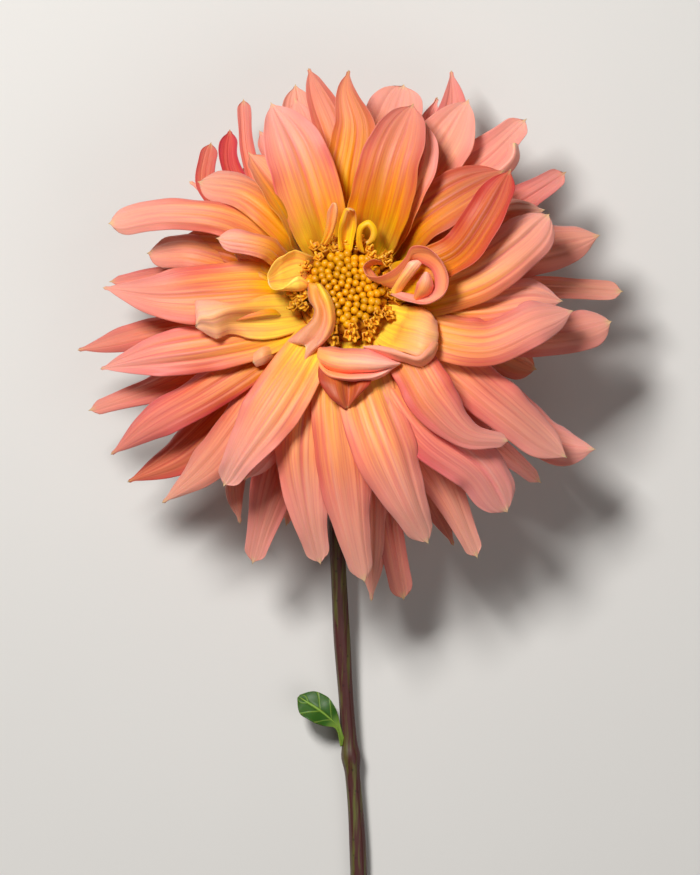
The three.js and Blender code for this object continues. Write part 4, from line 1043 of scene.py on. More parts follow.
def petal_flesh(settings):
    """Ray petal: velvety cells full of sap, which let light through and glow where petals overlap."""
    material, tree, shader = new_material(
        "dahlia petal", Roughness=0.52, Subsurface_Weight=0.2, Subsurface_Scale=0.003,
        Subsurface_Radius=(1.0, 0.35, 0.15), Sheen_Weight=0.15, Sheen_Roughness=0.4, Specular_IOR_Level=0.35)
    place = add_node(tree, "ShaderNodeAttribute", attribute_name="petal_place").outputs["Vector"]
    share = add_node(tree, "ShaderNodeAttribute", attribute_name="petal_share").outputs["Vector"]
    look = add_node(tree, "ShaderNodeAttribute", attribute_name="petal_look").outputs["Vector"]
    place_parts = add_node(tree, "ShaderNodeSeparateXYZ", {0: place})
    share_parts = add_node(tree, "ShaderNodeSeparateXYZ", {0: share})
    look_parts = add_node(tree, "ShaderNodeSeparateXYZ", {0: look})

    # Golden base that runs out into the petal in uneven streaks
    streak_at = add_node(tree, "ShaderNodeVectorMath", {0: place, 1: STREAK_CELLS}, operation="MULTIPLY")
    streaks = add_node(tree, "ShaderNodeTexNoise", {"Vector": streak_at.outputs[0], "Scale": 1, "Detail": 2})
    reach = add_node(tree, "ShaderNodeMath", {0: look_parts.outputs["Z"], 1: 4.0}, operation="MULTIPLY")
    far = add_node(tree, "ShaderNodeMath", {
        0: place_parts.outputs["Y"], 1: reach.outputs[0]}, operation="DIVIDE")
    shift = add_node(tree, "ShaderNodeMath", {
        0: streaks.outputs[0], 1: 0.28, 2: -0.14}, operation="MULTIPLY_ADD")
    far = add_node(tree, "ShaderNodeMath", {0: far.outputs[0], 1: shift.outputs[0]}, operation="ADD")
    ground = add_node(tree, "ShaderNodeValToRGB", {0: far.outputs[0]}, stops=[
        (0.24, settings.golden), (0.38, settings.amber), (0.62, settings.peach), (1.0, settings.coral)])

    # Fine veins, drawn a little coarser than real ones so that they show
    fine = 1 / (settings.vein_spacing / MM)
    vein_at = add_node(tree, "ShaderNodeVectorMath", {
        0: place, 1: (fine, VEIN_CELLS_ALONG, 1)}, operation="MULTIPLY")
    veins = add_node(tree, "ShaderNodeTexNoise", {"Vector": vein_at.outputs[0], "Scale": 1, "Detail": 2})
    vein_share = add_node(tree, "ShaderNodeMapRange", {
        "Value": veins.outputs[0], "From Min": 0.42, "From Max": 0.68, "To Max": 0.55})
    vein = add_node(tree, "ShaderNodeValToRGB", {0: far.outputs[0]}, stops=[
        (0.25, settings.vein_gold), (0.6, settings.rose)])
    veined = add_node(tree, "ShaderNodeMix", {
        0: vein_share.outputs[0], 6: ground.outputs[0], 7: vein.outputs[0]}, data_type="RGBA")

    # Outside the golden base: creases deeper in colour, partly their own and partly painted shade, and the
    # lips beside them paler as a painted highlight
    outer = add_node(tree, "ShaderNodeMapRange", {"Value": far.outputs[0], "From Min": 0.22, "From Max": 0.6})
    fold = add_node(tree, "ShaderNodeAttribute", attribute_name="petal_fold").outputs["Fac"]
    crease_shade = add_node(tree, "ShaderNodeMapRange", {
        "Value": fold, "From Min": -0.1, "From Max": -0.5, "To Min": 0.0, "To Max": 0.5})
    creased = add_node(tree, "ShaderNodeMix", {
        0: crease_shade.outputs[0], 6: veined.outputs[2], 7: vein.outputs[0]}, data_type="RGBA")
    lip = add_node(tree, "ShaderNodeMapRange", {
        "Value": fold, "From Min": 0.05, "From Max": 0.4, "To Min": 0.0, "To Max": 0.4})
    lip = add_node(tree, "ShaderNodeMath", {0: lip.outputs[0], 1: outer.outputs[0]}, operation="MULTIPLY")
    veined = add_node(tree, "ShaderNodeMix", {
        0: lip.outputs[0], 6: creased.outputs[2], 7: (*settings.blush, 1)}, data_type="RGBA")

    # Broad pale and rosy bands along the petal
    band_at = add_node(tree, "ShaderNodeVectorMath", {0: place, 1: BAND_CELLS}, operation="MULTIPLY")
    bands = add_node(tree, "ShaderNodeTexNoise", {"Vector": band_at.outputs[0], "Scale": 1, "Detail": 1})
    band_value = add_node(tree, "ShaderNodeMapRange", {
        "Value": bands.outputs[0], "From Min": 0.3, "From Max": 0.7, "To Min": 0.84, "To Max": 1.12})
    veined = add_node(tree, "ShaderNodeHueSaturation", {
        "Value": band_value.outputs[0], "Color": veined.outputs[2]})

    # Rosy edges
    edge = add_node(tree, "ShaderNodeMath", {0: share_parts.outputs["X"]}, operation="ABSOLUTE")
    edge_share = add_node(tree, "ShaderNodeMapRange", {
        "Value": edge.outputs[0], "From Min": 0.35, "From Max": 1.0, "To Max": 0.7},
        interpolation_type="SMOOTHSTEP")
    edged = add_node(tree, "ShaderNodeMath", {
        0: edge_share.outputs[0], 1: outer.outputs[0]}, operation="MULTIPLY")
    edges = add_node(tree, "ShaderNodeMix", {
        0: edged.outputs[0], 6: veined.outputs[0], 7: (*settings.rose, 1)}, data_type="RGBA")

    # Paler towards the tip, except on petals whose low tone is painted shade
    pale = add_node(tree, "ShaderNodeMapRange", {
        "Value": share_parts.outputs["Y"], "From Min": 0.55, "From Max": 1.0, "To Min": 0.0, "To Max": 0.65})
    light = add_node(tree, "ShaderNodeMapRange", {
        "Value": look_parts.outputs["X"], "From Min": -2.0, "From Max": -0.8})
    pale = add_node(tree, "ShaderNodeMath", {0: pale.outputs[0], 1: outer.outputs[0]}, operation="MULTIPLY")
    pale = add_node(tree, "ShaderNodeMath", {0: pale.outputs[0], 1: light.outputs[0]}, operation="MULTIPLY")
    edges = add_node(tree, "ShaderNodeMix", {
        0: pale.outputs[0], 6: edges.outputs[2], 7: (*settings.blush, 1)}, data_type="RGBA")

    # Paler, striped back
    back = add_node(tree, "ShaderNodeMapRange", {
        "Value": share_parts.outputs["Z"], "From Min": 0, "From Max": 1, "To Min": 0.6, "To Max": 0})
    back = add_node(tree, "ShaderNodeMath", {0: back.outputs[0], 1: outer.outputs[0]}, operation="MULTIPLY")
    backed = add_node(tree, "ShaderNodeMix", {
        0: back.outputs[0], 6: edges.outputs[2], 7: (*settings.reverse, 1)}, data_type="RGBA")

    # Horny point at the tip
    tip = add_node(tree, "ShaderNodeMapRange", {
        "Value": share_parts.outputs["Y"], "From Min": 0.965, "From Max": 0.995, "To Max": 0.8})
    middle = add_node(tree, "ShaderNodeMapRange", {
        "Value": edge.outputs[0], "From Min": 0.15, "From Max": 0.45, "To Min": 1.0, "To Max": 0.0})
    horny = add_node(tree, "ShaderNodeMath", {0: tip.outputs[0], 1: middle.outputs[0]}, operation="MULTIPLY")
    tipped = add_node(tree, "ShaderNodeMix", {
        0: horny.outputs[0], 6: backed.outputs[2], 7: (*settings.horn, 1)}, data_type="RGBA")

    # Each petal a little lighter or darker, rosier or yellower: its own colour, with painted shade where its
    # tone is low and painted light where it is high; a darker tone is also more saturated, as painted shade
    value = add_node(tree, "ShaderNodeMath", {
        0: look_parts.outputs["X"], 1: 0.16, 2: 1.0}, operation="MULTIPLY_ADD")
    hue = add_node(tree, "ShaderNodeMath", {
        0: look_parts.outputs["Y"], 1: 0.007, 2: 0.5}, operation="MULTIPLY_ADD")
    depth = add_node(tree, "ShaderNodeMath", {
        0: look_parts.outputs["X"], 1: -0.04, 2: 1.0}, operation="MULTIPLY_ADD")
    toned = add_node(tree, "ShaderNodeHueSaturation", {
        "Hue": hue.outputs[0], "Saturation": depth.outputs[0], "Value": value.outputs[0],
        "Color": tipped.outputs[2]})
    tree.links.new(toned.outputs[0], shader.inputs["Base Color"])

    bump = add_node(tree, "ShaderNodeBump", {
        "Height": veins.outputs[0], "Strength": 0.5, "Distance": 0.00025})
    tree.links.new(bump.outputs[0], shader.inputs["Normal"])
    return material


def waxy_floret(name, foot, top, low, high):
    """Disc floret: smooth and waxy, so each catches a small soft light, and brown at its foot as painted
    shade where the florets crowd.
    """
    material, tree, shader = new_material(
        name, Roughness=0.42, Subsurface_Weight=0.2, Subsurface_Scale=0.002,
        Subsurface_Radius=(1.0, 0.5, 0.1), Specular_IOR_Level=0.45)
    height = add_node(tree, "ShaderNodeAttribute", attribute_name="height")
    tone = add_node(tree, "ShaderNodeAttribute", attribute_name="tone", attribute_type="GEOMETRY")
    share = add_node(tree, "ShaderNodeMapRange", {
        "Value": height.outputs["Fac"], "From Min": low, "From Max": high})
    body = add_node(tree, "ShaderNodeMix", {
        0: share.outputs[0], 6: (*foot, 1), 7: (*top, 1)}, data_type="RGBA")
    value = add_node(tree, "ShaderNodeMapRange", {
        "Value": tone.outputs["Fac"], "To Min": 0.8, "To Max": 1.15})
    toned = add_node(tree, "ShaderNodeHueSaturation", {"Value": value.outputs[0], "Color": body.outputs[2]})
    tree.links.new(toned.outputs[0], shader.inputs["Base Color"])
    return material


def streaked_skin(name, main, streak, streaks_at, **constants):
    """Green or fleshy skin: streaks of a second colour, which break it up, and small dark dots."""
    material, tree, shader = new_material(name, **constants)
    place = add_node(tree, "ShaderNodeTexCoord").outputs["Object"]
    spacing, stretch = streaks_at
    scale = (1 / spacing, 1 / (spacing * stretch), 1 / spacing)
    streak_at = add_node(tree, "ShaderNodeVectorMath", {0: place, 1: scale}, operation="MULTIPLY")
    streaks = add_node(tree, "ShaderNodeTexNoise", {"Vector": streak_at.outputs[0], "Scale": 1, "Detail": 3})
    share = add_node(tree, "ShaderNodeMapRange", {
        "Value": streaks.outputs[0], "From Min": 0.48, "From Max": 0.66})
    dots = add_node(tree, "ShaderNodeTexVoronoi", {"Vector": place, "Scale": DOTS_PER_METRE})
    dark = add_node(tree, "ShaderNodeMapRange", {
        "Value": dots.outputs["Distance"], "From Min": 0.12, "From Max": 0.24, "To Min": 0.55, "To Max": 1.0})
    body = add_node(tree, "ShaderNodeMix", {
        0: share.outputs[0], 6: (*main, 1), 7: (*streak, 1)}, data_type="RGBA")
    dotted = add_node(tree, "ShaderNodeHueSaturation", {"Value": dark.outputs[0], "Color": body.outputs[2]})
    tree.links.new(dotted.outputs[0], shader.inputs["Base Color"])
    bump = add_node(tree, "ShaderNodeBump", {
        "Height": streaks.outputs[0], "Strength": 0.4, "Distance": 0.0003})
    tree.links.new(bump.outputs[0], shader.inputs["Normal"])
    return material


def leaf_skin(settings):
    """Leaf: thin green blade, duller than the stem, with paler sunken veins that lean to the tip."""
    material, tree, shader = new_material(
        "dahlia leaf", Roughness=0.5, Subsurface_Weight=0.15, Subsurface_Scale=0.002, Specular_IOR_Level=0.4)
    place = add_node(tree, "ShaderNodeAttribute", attribute_name="petal_place")
    share = add_node(tree, "ShaderNodeAttribute", attribute_name="petal_share")
    place_parts = add_node(tree, "ShaderNodeSeparateXYZ", {0: place.outputs["Vector"]})
    share_parts = add_node(tree, "ShaderNodeSeparateXYZ", {0: share.outputs["Vector"]})
    aside = add_node(tree, "ShaderNodeMath", {0: place_parts.outputs["X"]}, operation="ABSOLUTE")
    lean = add_node(tree, "ShaderNodeMath", {0: aside.outputs[0], 1: LEAF_VEIN_LEAN}, operation="MULTIPLY")
    wave = add_node(tree, "ShaderNodeMath", {
        0: place_parts.outputs["Y"], 1: lean.outputs[0]}, operation="ADD")
    wave = add_node(tree, "ShaderNodeMath", {
        0: wave.outputs[0], 1: LEAF_VEIN_SPACING / 2}, operation="PINGPONG")
    side_vein = add_node(tree, "ShaderNodeMapRange", {
        "Value": wave.outputs[0], "From Min": 0.0, "From Max": 0.5, "To Min": 0.75, "To Max": 0})
    midrib = add_node(tree, "ShaderNodeMapRange", {
        "Value": aside.outputs[0], "From Min": 0.2, "From Max": 0.6, "To Min": 1, "To Max": 0})
    stalk = add_node(tree, "ShaderNodeMapRange", {
        "Value": share_parts.outputs["Y"], "From Min": 0.3, "From Max": 0.45, "To Min": 1, "To Max": 0})
    vein = add_node(tree, "ShaderNodeMath", {
        0: side_vein.outputs[0], 1: midrib.outputs[0]}, operation="MAXIMUM")
    pale = add_node(tree, "ShaderNodeMath", {0: vein.outputs[0], 1: stalk.outputs[0]}, operation="MAXIMUM")
    body = add_node(tree, "ShaderNodeMix", {
        0: pale.outputs[0], 6: (*settings.leaf_green, 1), 7: (*settings.vein_green, 1)}, data_type="RGBA")
    tree.links.new(body.outputs[2], shader.inputs["Base Color"])
    bump = add_node(tree, "ShaderNodeBump", {
        "Height": vein.outputs[0], "Strength": 0.6, "Distance": 0.0003}, invert=True)
    tree.links.new(bump.outputs[0], shader.inputs["Normal"])
    return material


def painted_floor(settings):
    """Floor: plain matte paint without shine, a little uneven so that it isn't one flat colour."""
    material, tree, shader = new_material("matte floor", Roughness=0.85, Specular_IOR_Level=0.2)
    place = add_node(tree, "ShaderNodeTexCoord").outputs["Object"]
    cloud = add_node(tree, "ShaderNodeTexNoise", {"Vector": place, "Scale": 6, "Detail": 3})
    value = add_node(tree, "ShaderNodeMapRange", {"Value": cloud.outputs[0], "To Min": 0.97, "To Max": 1.03})
    shade = add_node(tree, "ShaderNodeHueSaturation", {
        "Value": value.outputs[0], "Color": (*settings.floor, 1)})
    tree.links.new(shade.outputs[0], shader.inputs["Base Color"])
    return material


def golden_spiral():
    """Geometry nodes that set copies of a small shape round a dome, square to it, in a spiral."""
    tree = bpy.data.node_groups.new("golden spiral", "GeometryNodeTree")
    tree.interface.new_socket(name="Geometry", in_out="OUTPUT", socket_type="NodeSocketGeometry")
    for name, kind in (
            ("Copy", "Object"), ("Count", "Int"), ("Inner Radius", "Float"), ("Outer Radius", "Float"),
            ("Dome Radius", "Float"), ("Dome Rise", "Float"), ("Lean", "Float"), ("Inner Size", "Float"),
            ("Outer Size", "Float"), ("Unevenness", "Float"), ("Angle", "Float"), ("Seed", "Int"),
            ("Skin", "Material")):
        tree.interface.new_socket(name=name, in_out="INPUT", socket_type="NodeSocket" + kind)
    given = add_node(tree, "NodeGroupInput").outputs
    number = add_node(tree, "GeometryNodeInputIndex").outputs[0]

    # Share of the way out by area, and the radius and bearing there
    half = add_node(tree, "ShaderNodeMath", {0: number, 1: 0.5}, operation="ADD")
    share = add_node(tree, "ShaderNodeMath", {0: half.outputs[0], 1: given["Count"]}, operation="DIVIDE")
    inner = add_node(tree, "ShaderNodeMath", {0: given["Inner Radius"], 1: 2.0}, operation="POWER")
    outer = add_node(tree, "ShaderNodeMath", {0: given["Outer Radius"], 1: 2.0}, operation="POWER")
    square = add_node(tree, "ShaderNodeMapRange", {
        "Value": share.outputs[0], "To Min": inner.outputs[0], "To Max": outer.outputs[0]})
    radius = add_node(tree, "ShaderNodeMath", {0: square.outputs[0], 1: 0.5}, operation="POWER")
    bearing = add_node(tree, "ShaderNodeMath", {0: number, 1: given["Angle"]}, operation="MULTIPLY")
    jitter = add_node(tree, "FunctionNodeRandomValue", {
        "Min": (-1, -1, -1), "Max": (1, 1, 1), "Seed": given["Seed"]}, data_type="FLOAT_VECTOR")
    uneven = add_node(tree, "ShaderNodeVectorMath", {
        0: jitter.outputs[0], "Scale": given["Unevenness"]}, operation="SCALE")
    shake = add_node(tree, "ShaderNodeSeparateXYZ", {0: uneven.outputs[0]})
    bearing = add_node(tree, "ShaderNodeMath", {
        0: bearing.outputs[0], 1: shake.outputs["X"]}, operation="ADD")

    # Place on the dome, whose height falls with the square of the radius
    turn = add_node(tree, "ShaderNodeCombineXYZ", {"Z": bearing.outputs[0]})
    ray = add_node(tree, "ShaderNodeVectorRotate", {
        "Vector": (1, 0, 0), "Rotation": turn.outputs[0]}, rotation_type="EULER_XYZ")
    flat = add_node(tree, "ShaderNodeVectorMath", {
        0: ray.outputs[0], "Scale": radius.outputs[0]}, operation="SCALE")
    out = add_node(tree, "ShaderNodeMath", {
        0: radius.outputs[0], 1: given["Dome Radius"]}, operation="DIVIDE")
    fall = add_node(tree, "ShaderNodeMath", {0: out.outputs[0], 1: 2.0}, operation="POWER")
    height = add_node(tree, "ShaderNodeMapRange", {
        "Value": fall.outputs[0], "To Min": given["Dome Rise"], "To Max": 0.0}, clamp=False)
    lift = add_node(tree, "ShaderNodeCombineXYZ", {"Z": height.outputs[0]})
    spot = add_node(tree, "ShaderNodeVectorMath", {0: flat.outputs[0], 1: lift.outputs[0]}, operation="ADD")

    # Square to the dome, plus a lean outwards
    steep = add_node(tree, "ShaderNodeMath", {0: out.outputs[0], 1: given["Lean"]}, operation="MULTIPLY")
    steep = add_node(tree, "ShaderNodeMath", {0: steep.outputs[0], 1: shake.outputs["Y"]}, operation="ADD")
    leaning = add_node(tree, "ShaderNodeVectorMath", {
        0: ray.outputs[0], "Scale": steep.outputs[0]}, operation="SCALE")
    facing = add_node(tree, "ShaderNodeVectorMath", {0: leaning.outputs[0], 1: (0, 0, 1)}, operation="ADD")
    start = add_node(tree, "FunctionNodeEulerToRotation", {0: turn.outputs[0]})
    square_on = add_node(tree, "FunctionNodeAlignRotationToVector", {
        "Rotation": start.outputs[0], "Vector": facing.outputs[0]}, axis="Z")
    size = add_node(tree, "ShaderNodeMapRange", {
        "Value": share.outputs[0], "To Min": given["Inner Size"], "To Max": given["Outer Size"]})
    swell = add_node(tree, "ShaderNodeMath", {0: shake.outputs["Z"], 1: 1.0}, operation="ADD")
    size = add_node(tree, "ShaderNodeMath", {0: size.outputs[0], 1: swell.outputs[0]}, operation="MULTIPLY")

    points = add_node(tree, "GeometryNodePoints", {"Count": given["Count"], "Position": spot.outputs[0]})
    copy = add_node(tree, "GeometryNodeObjectInfo", {"Object": given["Copy"], "As Instance": True})
    placed = add_node(tree, "GeometryNodeInstanceOnPoints", {
        "Points": points.outputs[0], "Instance": copy.outputs["Geometry"],
        "Rotation": square_on.outputs[0], "Scale": size.outputs[0]})
    tone = add_node(tree, "FunctionNodeRandomValue", {"Seed": given["Seed"]}, data_type="FLOAT")
    marked = add_node(tree, "GeometryNodeStoreNamedAttribute", {
        "Geometry": placed.outputs[0], "Name": "tone", "Value": tone.outputs[1]},
        data_type="FLOAT", domain="INSTANCE")
    real = add_node(tree, "GeometryNodeRealizeInstances", {0: marked.outputs[0]})
    skinned = add_node(tree, "GeometryNodeSetMaterial", {
        "Geometry": real.outputs[0], "Material": given["Skin"]})
    end = add_node(tree, "NodeGroupOutput")
    tree.links.new(skinned.outputs[0], end.inputs[0])
    return tree


def spiral_piece(name, corners, faces, heights, material, values):
    """Mesh of the copies that the golden spiral makes of a small shape, in the row's frame."""
    tree = bpy.data.node_groups.get("golden spiral") or golden_spiral()
    copy = bpy.data.objects.new(name + "_copy", plain_mesh(name + "_copy", corners, faces))
    facing_out(copy.data)
    height = copy.data.attributes.new("height", "FLOAT", "POINT")
    height.data.foreach_set("value", heights)
    host = bpy.data.objects.new(name + "_host", bpy.data.meshes.new(name + "_host"))
    bpy.context.scene.collection.objects.link(host)
    spiral = host.modifiers.new("golden spiral", "NODES")
    spiral.node_group = tree
    sockets = {item.name: item.identifier for item in tree.interface.items_tree if item.in_out == "INPUT"}
    for key, value in {"Copy": copy, "Skin": material, **values}.items():
        spiral[sockets[key]] = value
    graph = bpy.context.evaluated_depsgraph_get()
    mesh = bpy.data.meshes.new_from_object(host.evaluated_get(graph), depsgraph=graph)
    mesh.name = name
    bpy.data.objects.remove(host)
    bpy.data.objects.remove(copy)
    mesh.transform(bloom_matrix())
    return mesh


def bloom_matrix(depth=0):
    """Turns and moves a shape made about Z, in metres, to the bloom's axis."""
    turn = Matrix((BLOOM_RIGHT, BLOOM_UP, BLOOM_AXIS)).transposed().to_4x4()
    at = Vector((DISC_AT - BLOOM_AXIS * depth) * MM)
    return Matrix.Translation(at) @ turn


class DAHLIA_OT_stage(bpy.types.Operator):
    """Floor, studio light and camera"""
    bl_idname = "dahlia.stage"
    bl_label = "Stage"

    def execute(self, context):
        settings = context.scene.dahlia_stage
        far = FLOOR_REACH
        corners = [(-far, -far, 0), (far, -far, 0), (far, far, 0), (-far, far, 0)]
        floor = bpy.data.objects.new("floor", plain_mesh("floor", corners, [(0, 1, 2, 3)]))
        floor.data.materials.append(painted_floor(settings))
        context.scene.collection.objects.link(floor)
        bloom = Vector(DISC_AT * MM)
        powers = {"key": settings.key_power, "fill": settings.fill_power}
        for name, (place, size) in LAMPS.items():
            lamp = bpy.data.lights.new(name, "AREA")
            lamp.size = size
            lamp.energy = powers[name]
            light = bpy.data.objects.new(name, lamp)
            light.location = bloom + Vector(place)
            light.rotation_euler = (-Vector(place)).to_track_quat("-Z", "Y").to_euler()
            context.scene.collection.objects.link(light)
        world = bpy.data.worlds.new("studio")
        world.use_nodes = True
        sky = world.node_tree.nodes["Background"]
        sky.inputs["Color"].default_value = (1, 1, 1, 1)
        sky.inputs["Strength"].default_value = settings.ambient
        context.scene.world = world
        context.scene.view_settings.view_transform = "Standard"
        lens = bpy.data.cameras.new("camera")
        across = PHOTO_HEIGHT * MM_PER_PIXEL * MM
        lens.sensor_width = SENSOR
        lens.lens = SENSOR * (CAMERA_HEIGHT - DISC_AT[2] * MM) / across
        lens.clip_end = CAMERA_REACH
        camera = bpy.data.objects.new("camera", lens)
        aside = (PHOTO_WIDTH / 2 - DISC_PIXEL[0]) * MM_PER_PIXEL
        below = (DISC_PIXEL[1] - PHOTO_HEIGHT / 2) * MM_PER_PIXEL
        camera.location = ((DISC_AT[0] + aside) * MM, (DISC_AT[1] + below) * MM, CAMERA_HEIGHT)
        context.scene.collection.objects.link(camera)
        context.scene.camera = camera
        return {"FINISHED"}


def petal_material(scene):
    """The petals' skin, made once."""
    return bpy.data.materials.get("dahlia petal") or petal_flesh(scene.dahlia_petals)


def make_petals(scene, name, blades):
    """One piece of petals."""
    mesh = closed_mesh(name, blades, scene.dahlia_petals.thickness / MM)
    finish_piece(name, mesh, petal_material(scene), "ray_petals")


class DAHLIA_OT_ray_petals(bpy.types.Operator):
    """The petals that show from the front, sector by sector"""
    bl_idname = "dahlia.ray_petals"
    bl_label = "Ray petals"

    def execute(self, context):
        settings = context.scene.dahlia_petals
        faces = (settings.across, settings.along)
        for seed, (name, table) in enumerate(SECTORS.items()):
            draw = np.random.default_rng(seed + 1)
            make_petals(context.scene, name, [petal(entry, settings, draw, faces) for entry in table])
        return {"FINISHED"}


class DAHLIA_OT_curled_petals(bpy.types.Operator):
    """The curled petals round the disc"""
    bl_idname = "dahlia.curled_petals"
    bl_label = "Curled petals"

    def execute(self, context):
        settings = context.scene.dahlia_petals
        draw = np.random.default_rng(CURLED_SEED)
        blades = [folded_petal(entry, settings, draw) for entry in FOLDED_PETALS]
        make_petals(context.scene, "petals_curled", blades)
        return {"FINISHED"}


class DAHLIA_OT_back_petals(bpy.types.Operator):
    """The hidden rings behind, which the flower rests on"""
    bl_idname = "dahlia.back_petals"
    bl_label = "Back petals"

    def execute(self, context):
        settings = context.scene.dahlia_petals
        draw = np.random.default_rng(BACK_SEED)
        blades = [petal(entry, settings, draw, BACK_FACES) for entry in back_petals()]
        make_petals(context.scene, "petals_back", blades)
        return {"FINISHED"}


class DAHLIA_OT_head(bpy.types.Operator):
    """The fleshy head that the petals grow from"""
    bl_idname = "dahlia.head"
    bl_label = "Head"

    def execute(self, context):
        settings = context.scene.dahlia_disc
        corners, faces = lathe(HEAD_PROFILE, HEAD_SIDES)
        mesh = facing_out(plain_mesh("flower_head", corners * MM, faces))
        mesh.transform(bloom_matrix())

        # Head: brown painted shade, which keeps it dark between the petals' bases, where shade falls
        skin = streaked_skin(
            "dahlia head", settings.painted_shade_brown, settings.head_shade_streak, HEAD_STREAKS,
            Roughness=0.6, Specular_IOR_Level=0.3)
        finish_piece("flower_head", mesh, skin, "ray_petals")
        return {"FINISHED"}


class DAHLIA_OT_disc(bpy.types.Operator):
    """The disc: its dome, the closed florets in spirals and the opened ones round them"""
    bl_idname = "dahlia.disc"
    bl_label = "Disc florets"

    def execute(self, context):
        settings = context.scene.dahlia_disc
        shared = {
            "Dome Radius": DOME_RADIUS * MM, "Dome Rise": DISC_RISE * MM,
            "Angle": math.radians(GOLDEN_ANGLE), "Seed": FLORET_SEED}

        radii = np.linspace(DISC_RADIUS, 0, 9)
        rise = [(r, DISC_RISE * (1 - (r / DOME_RADIUS) ** 2) - DOME_SINK) for r in radii]
        corners, faces = lathe([(0, DOME_FOOT), (DISC_RADIUS, DOME_FOOT)] + rise, HEAD_SIDES)
        dome = facing_out(plain_mesh("disc_dome", corners * MM, faces))
        dome.transform(bloom_matrix())

        # Disc floor: dry and without shine; its brown is painted shade between the florets
        brown = streaked_skin(
            "dahlia disc floor", settings.painted_shade_brown, settings.bud_yellow, CHAFF_STREAKS,
            Roughness=0.7, Specular_IOR_Level=0.2)
        finish_piece("disc_dome", dome, brown, "disc_florets")

        corners, faces = lathe(BUD_PROFILE, BUD_SIDES, lambda t: 1 + 0.05 * np.cos(LOBES * t))
        waxy = waxy_floret("dahlia closed floret", settings.painted_shade_brown, settings.bud_yellow, 0.1, 0.65)
        mesh = spiral_piece("closed_florets", corners, faces, corners[:, 2], waxy, {
            **shared, "Count": settings.buds, "Inner Radius": 0.0, "Outer Radius": (DISC_RADIUS - 2.2) * MM,
            "Lean": 0.5, "Inner Size": settings.bud_width * 0.86, "Outer Size": settings.bud_width * 1.16,
            "Unevenness": 0.06})
        finish_piece("closed_florets", mesh, waxy, "disc_florets")

        corners, faces, heights = opened_floret()
        curly = waxy_floret("dahlia opened floret", settings.painted_shade_brown, settings.style_yellow, 0.6, 1.0)
        mesh = spiral_piece("opened_florets", corners * MM, faces, heights, curly, {
            **shared, "Count": settings.open_florets, "Inner Radius": (DISC_RADIUS - 2.4) * MM,
            "Outer Radius": (DISC_RADIUS + 1.8) * MM, "Lean": 0.9, "Inner Size": 1.0, "Outer Size": 1.15,
            "Unevenness": 0.2})
        finish_piece("opened_florets", mesh, curly, "disc_florets")
        return {"FINISHED"}


def opened_floret():
    """An opened floret: a lobed tube with two curled styles, and heights from its foot to them."""
    corners, faces = lathe(OPEN_PROFILE, BUD_SIDES, lambda t: 1 + 0.16 * np.cos(LOBES * t))
    corners, faces = [corners], list(faces)
    heights = [0.3 + 0.14 * corners[0][:, 2]]
    for side in (-1, 1):
        turn = np.linspace(0, 1.5 * math.pi, STYLE_SAMPLES)
        route = np.stack([
            side * (0.2 + 0.6 * (1 - np.cos(turn * 0.9))), 0.25 * np.sin(turn) * side,
            2.4 + 1.5 * np.sin(turn * 0.55) + 0.15 * turn], axis=1)
        more, quads = tube(route, np.linspace(*STYLE_RADII, STYLE_SAMPLES), STYLE_SIDES)
        start = sum(len(part) for part in corners)
        corners.append(more)
        heights.append(np.full(len(more), 1.0))
        faces += [tuple(np.array(face) + start) for face in quads]
    return np.concatenate(corners), faces, np.concatenate(heights)


class DAHLIA_OT_bracts(bpy.types.Operator):
    """The green cup and its bracts behind the head"""
    bl_idname = "dahlia.bracts"
    bl_label = "Bracts"

    def execute(self, context):
        settings = context.scene.dahlia_disc
        corners, faces = lathe(CUP_PROFILE, CUP_SIDES)
        cup = facing_out(plain_mesh("bract_cup", corners * MM, faces))
        cup.transform(bloom_matrix())

        # Bract: matte green with pale streaks, duller than the stem's skin
        green = streaked_skin(
            "dahlia bract", settings.green, settings.green_streak, BRACT_STREAKS,
            Roughness=0.55, Specular_IOR_Level=0.35)
        finish_piece("bract_cup", cup, green, "bracts")

        rise = np.linspace(0, 1, BRACT_STATIONS)
        bend = rise * BRACT_BEND
        fall = CUP_TOP - BRACT_SINK - BRACT_DROP * (1 - np.cos(bend)) - BRACT_SAG * rise
        route = np.stack([BRACT_FOOT + BRACT_REACH * np.sin(bend), np.zeros(BRACT_STATIONS), fall], axis=1)
        wide = BRACT_HALF_WIDTH * np.sin(np.pi * (0.22 + 0.78 * rise)) ** 0.8 + 0.25
        rows = []
        for thick in (BRACT_HALF, -BRACT_HALF):
            for at, half in zip(route, wide):
                rows += [(at[0] + 0.08 * (y / half) ** 2, y, at[2] + thick + 0.5 * (y / half) ** 2)
                         for y in np.linspace(-half, half, BRACT_ACROSS)]
        blade = sheet_faces(BRACT_STATIONS, BRACT_ACROSS)
        mesh = spiral_piece("bract_blades", np.array(rows) * MM, blade, np.ones(len(rows)), green, {
            "Count": settings.bracts, "Inner Radius": 0.0, "Outer Radius": 0.0, "Dome Radius": 1.0,
            "Dome Rise": 0.0, "Lean": 0.0, "Inner Size": 1.0, "Outer Size": 1.0, "Unevenness": 0.04,
            "Angle": 2 * math.pi / settings.bracts, "Seed": BRACT_SEED})
        finish_piece("bract_blades", mesh, green, "bracts")
        return {"FINISHED"}


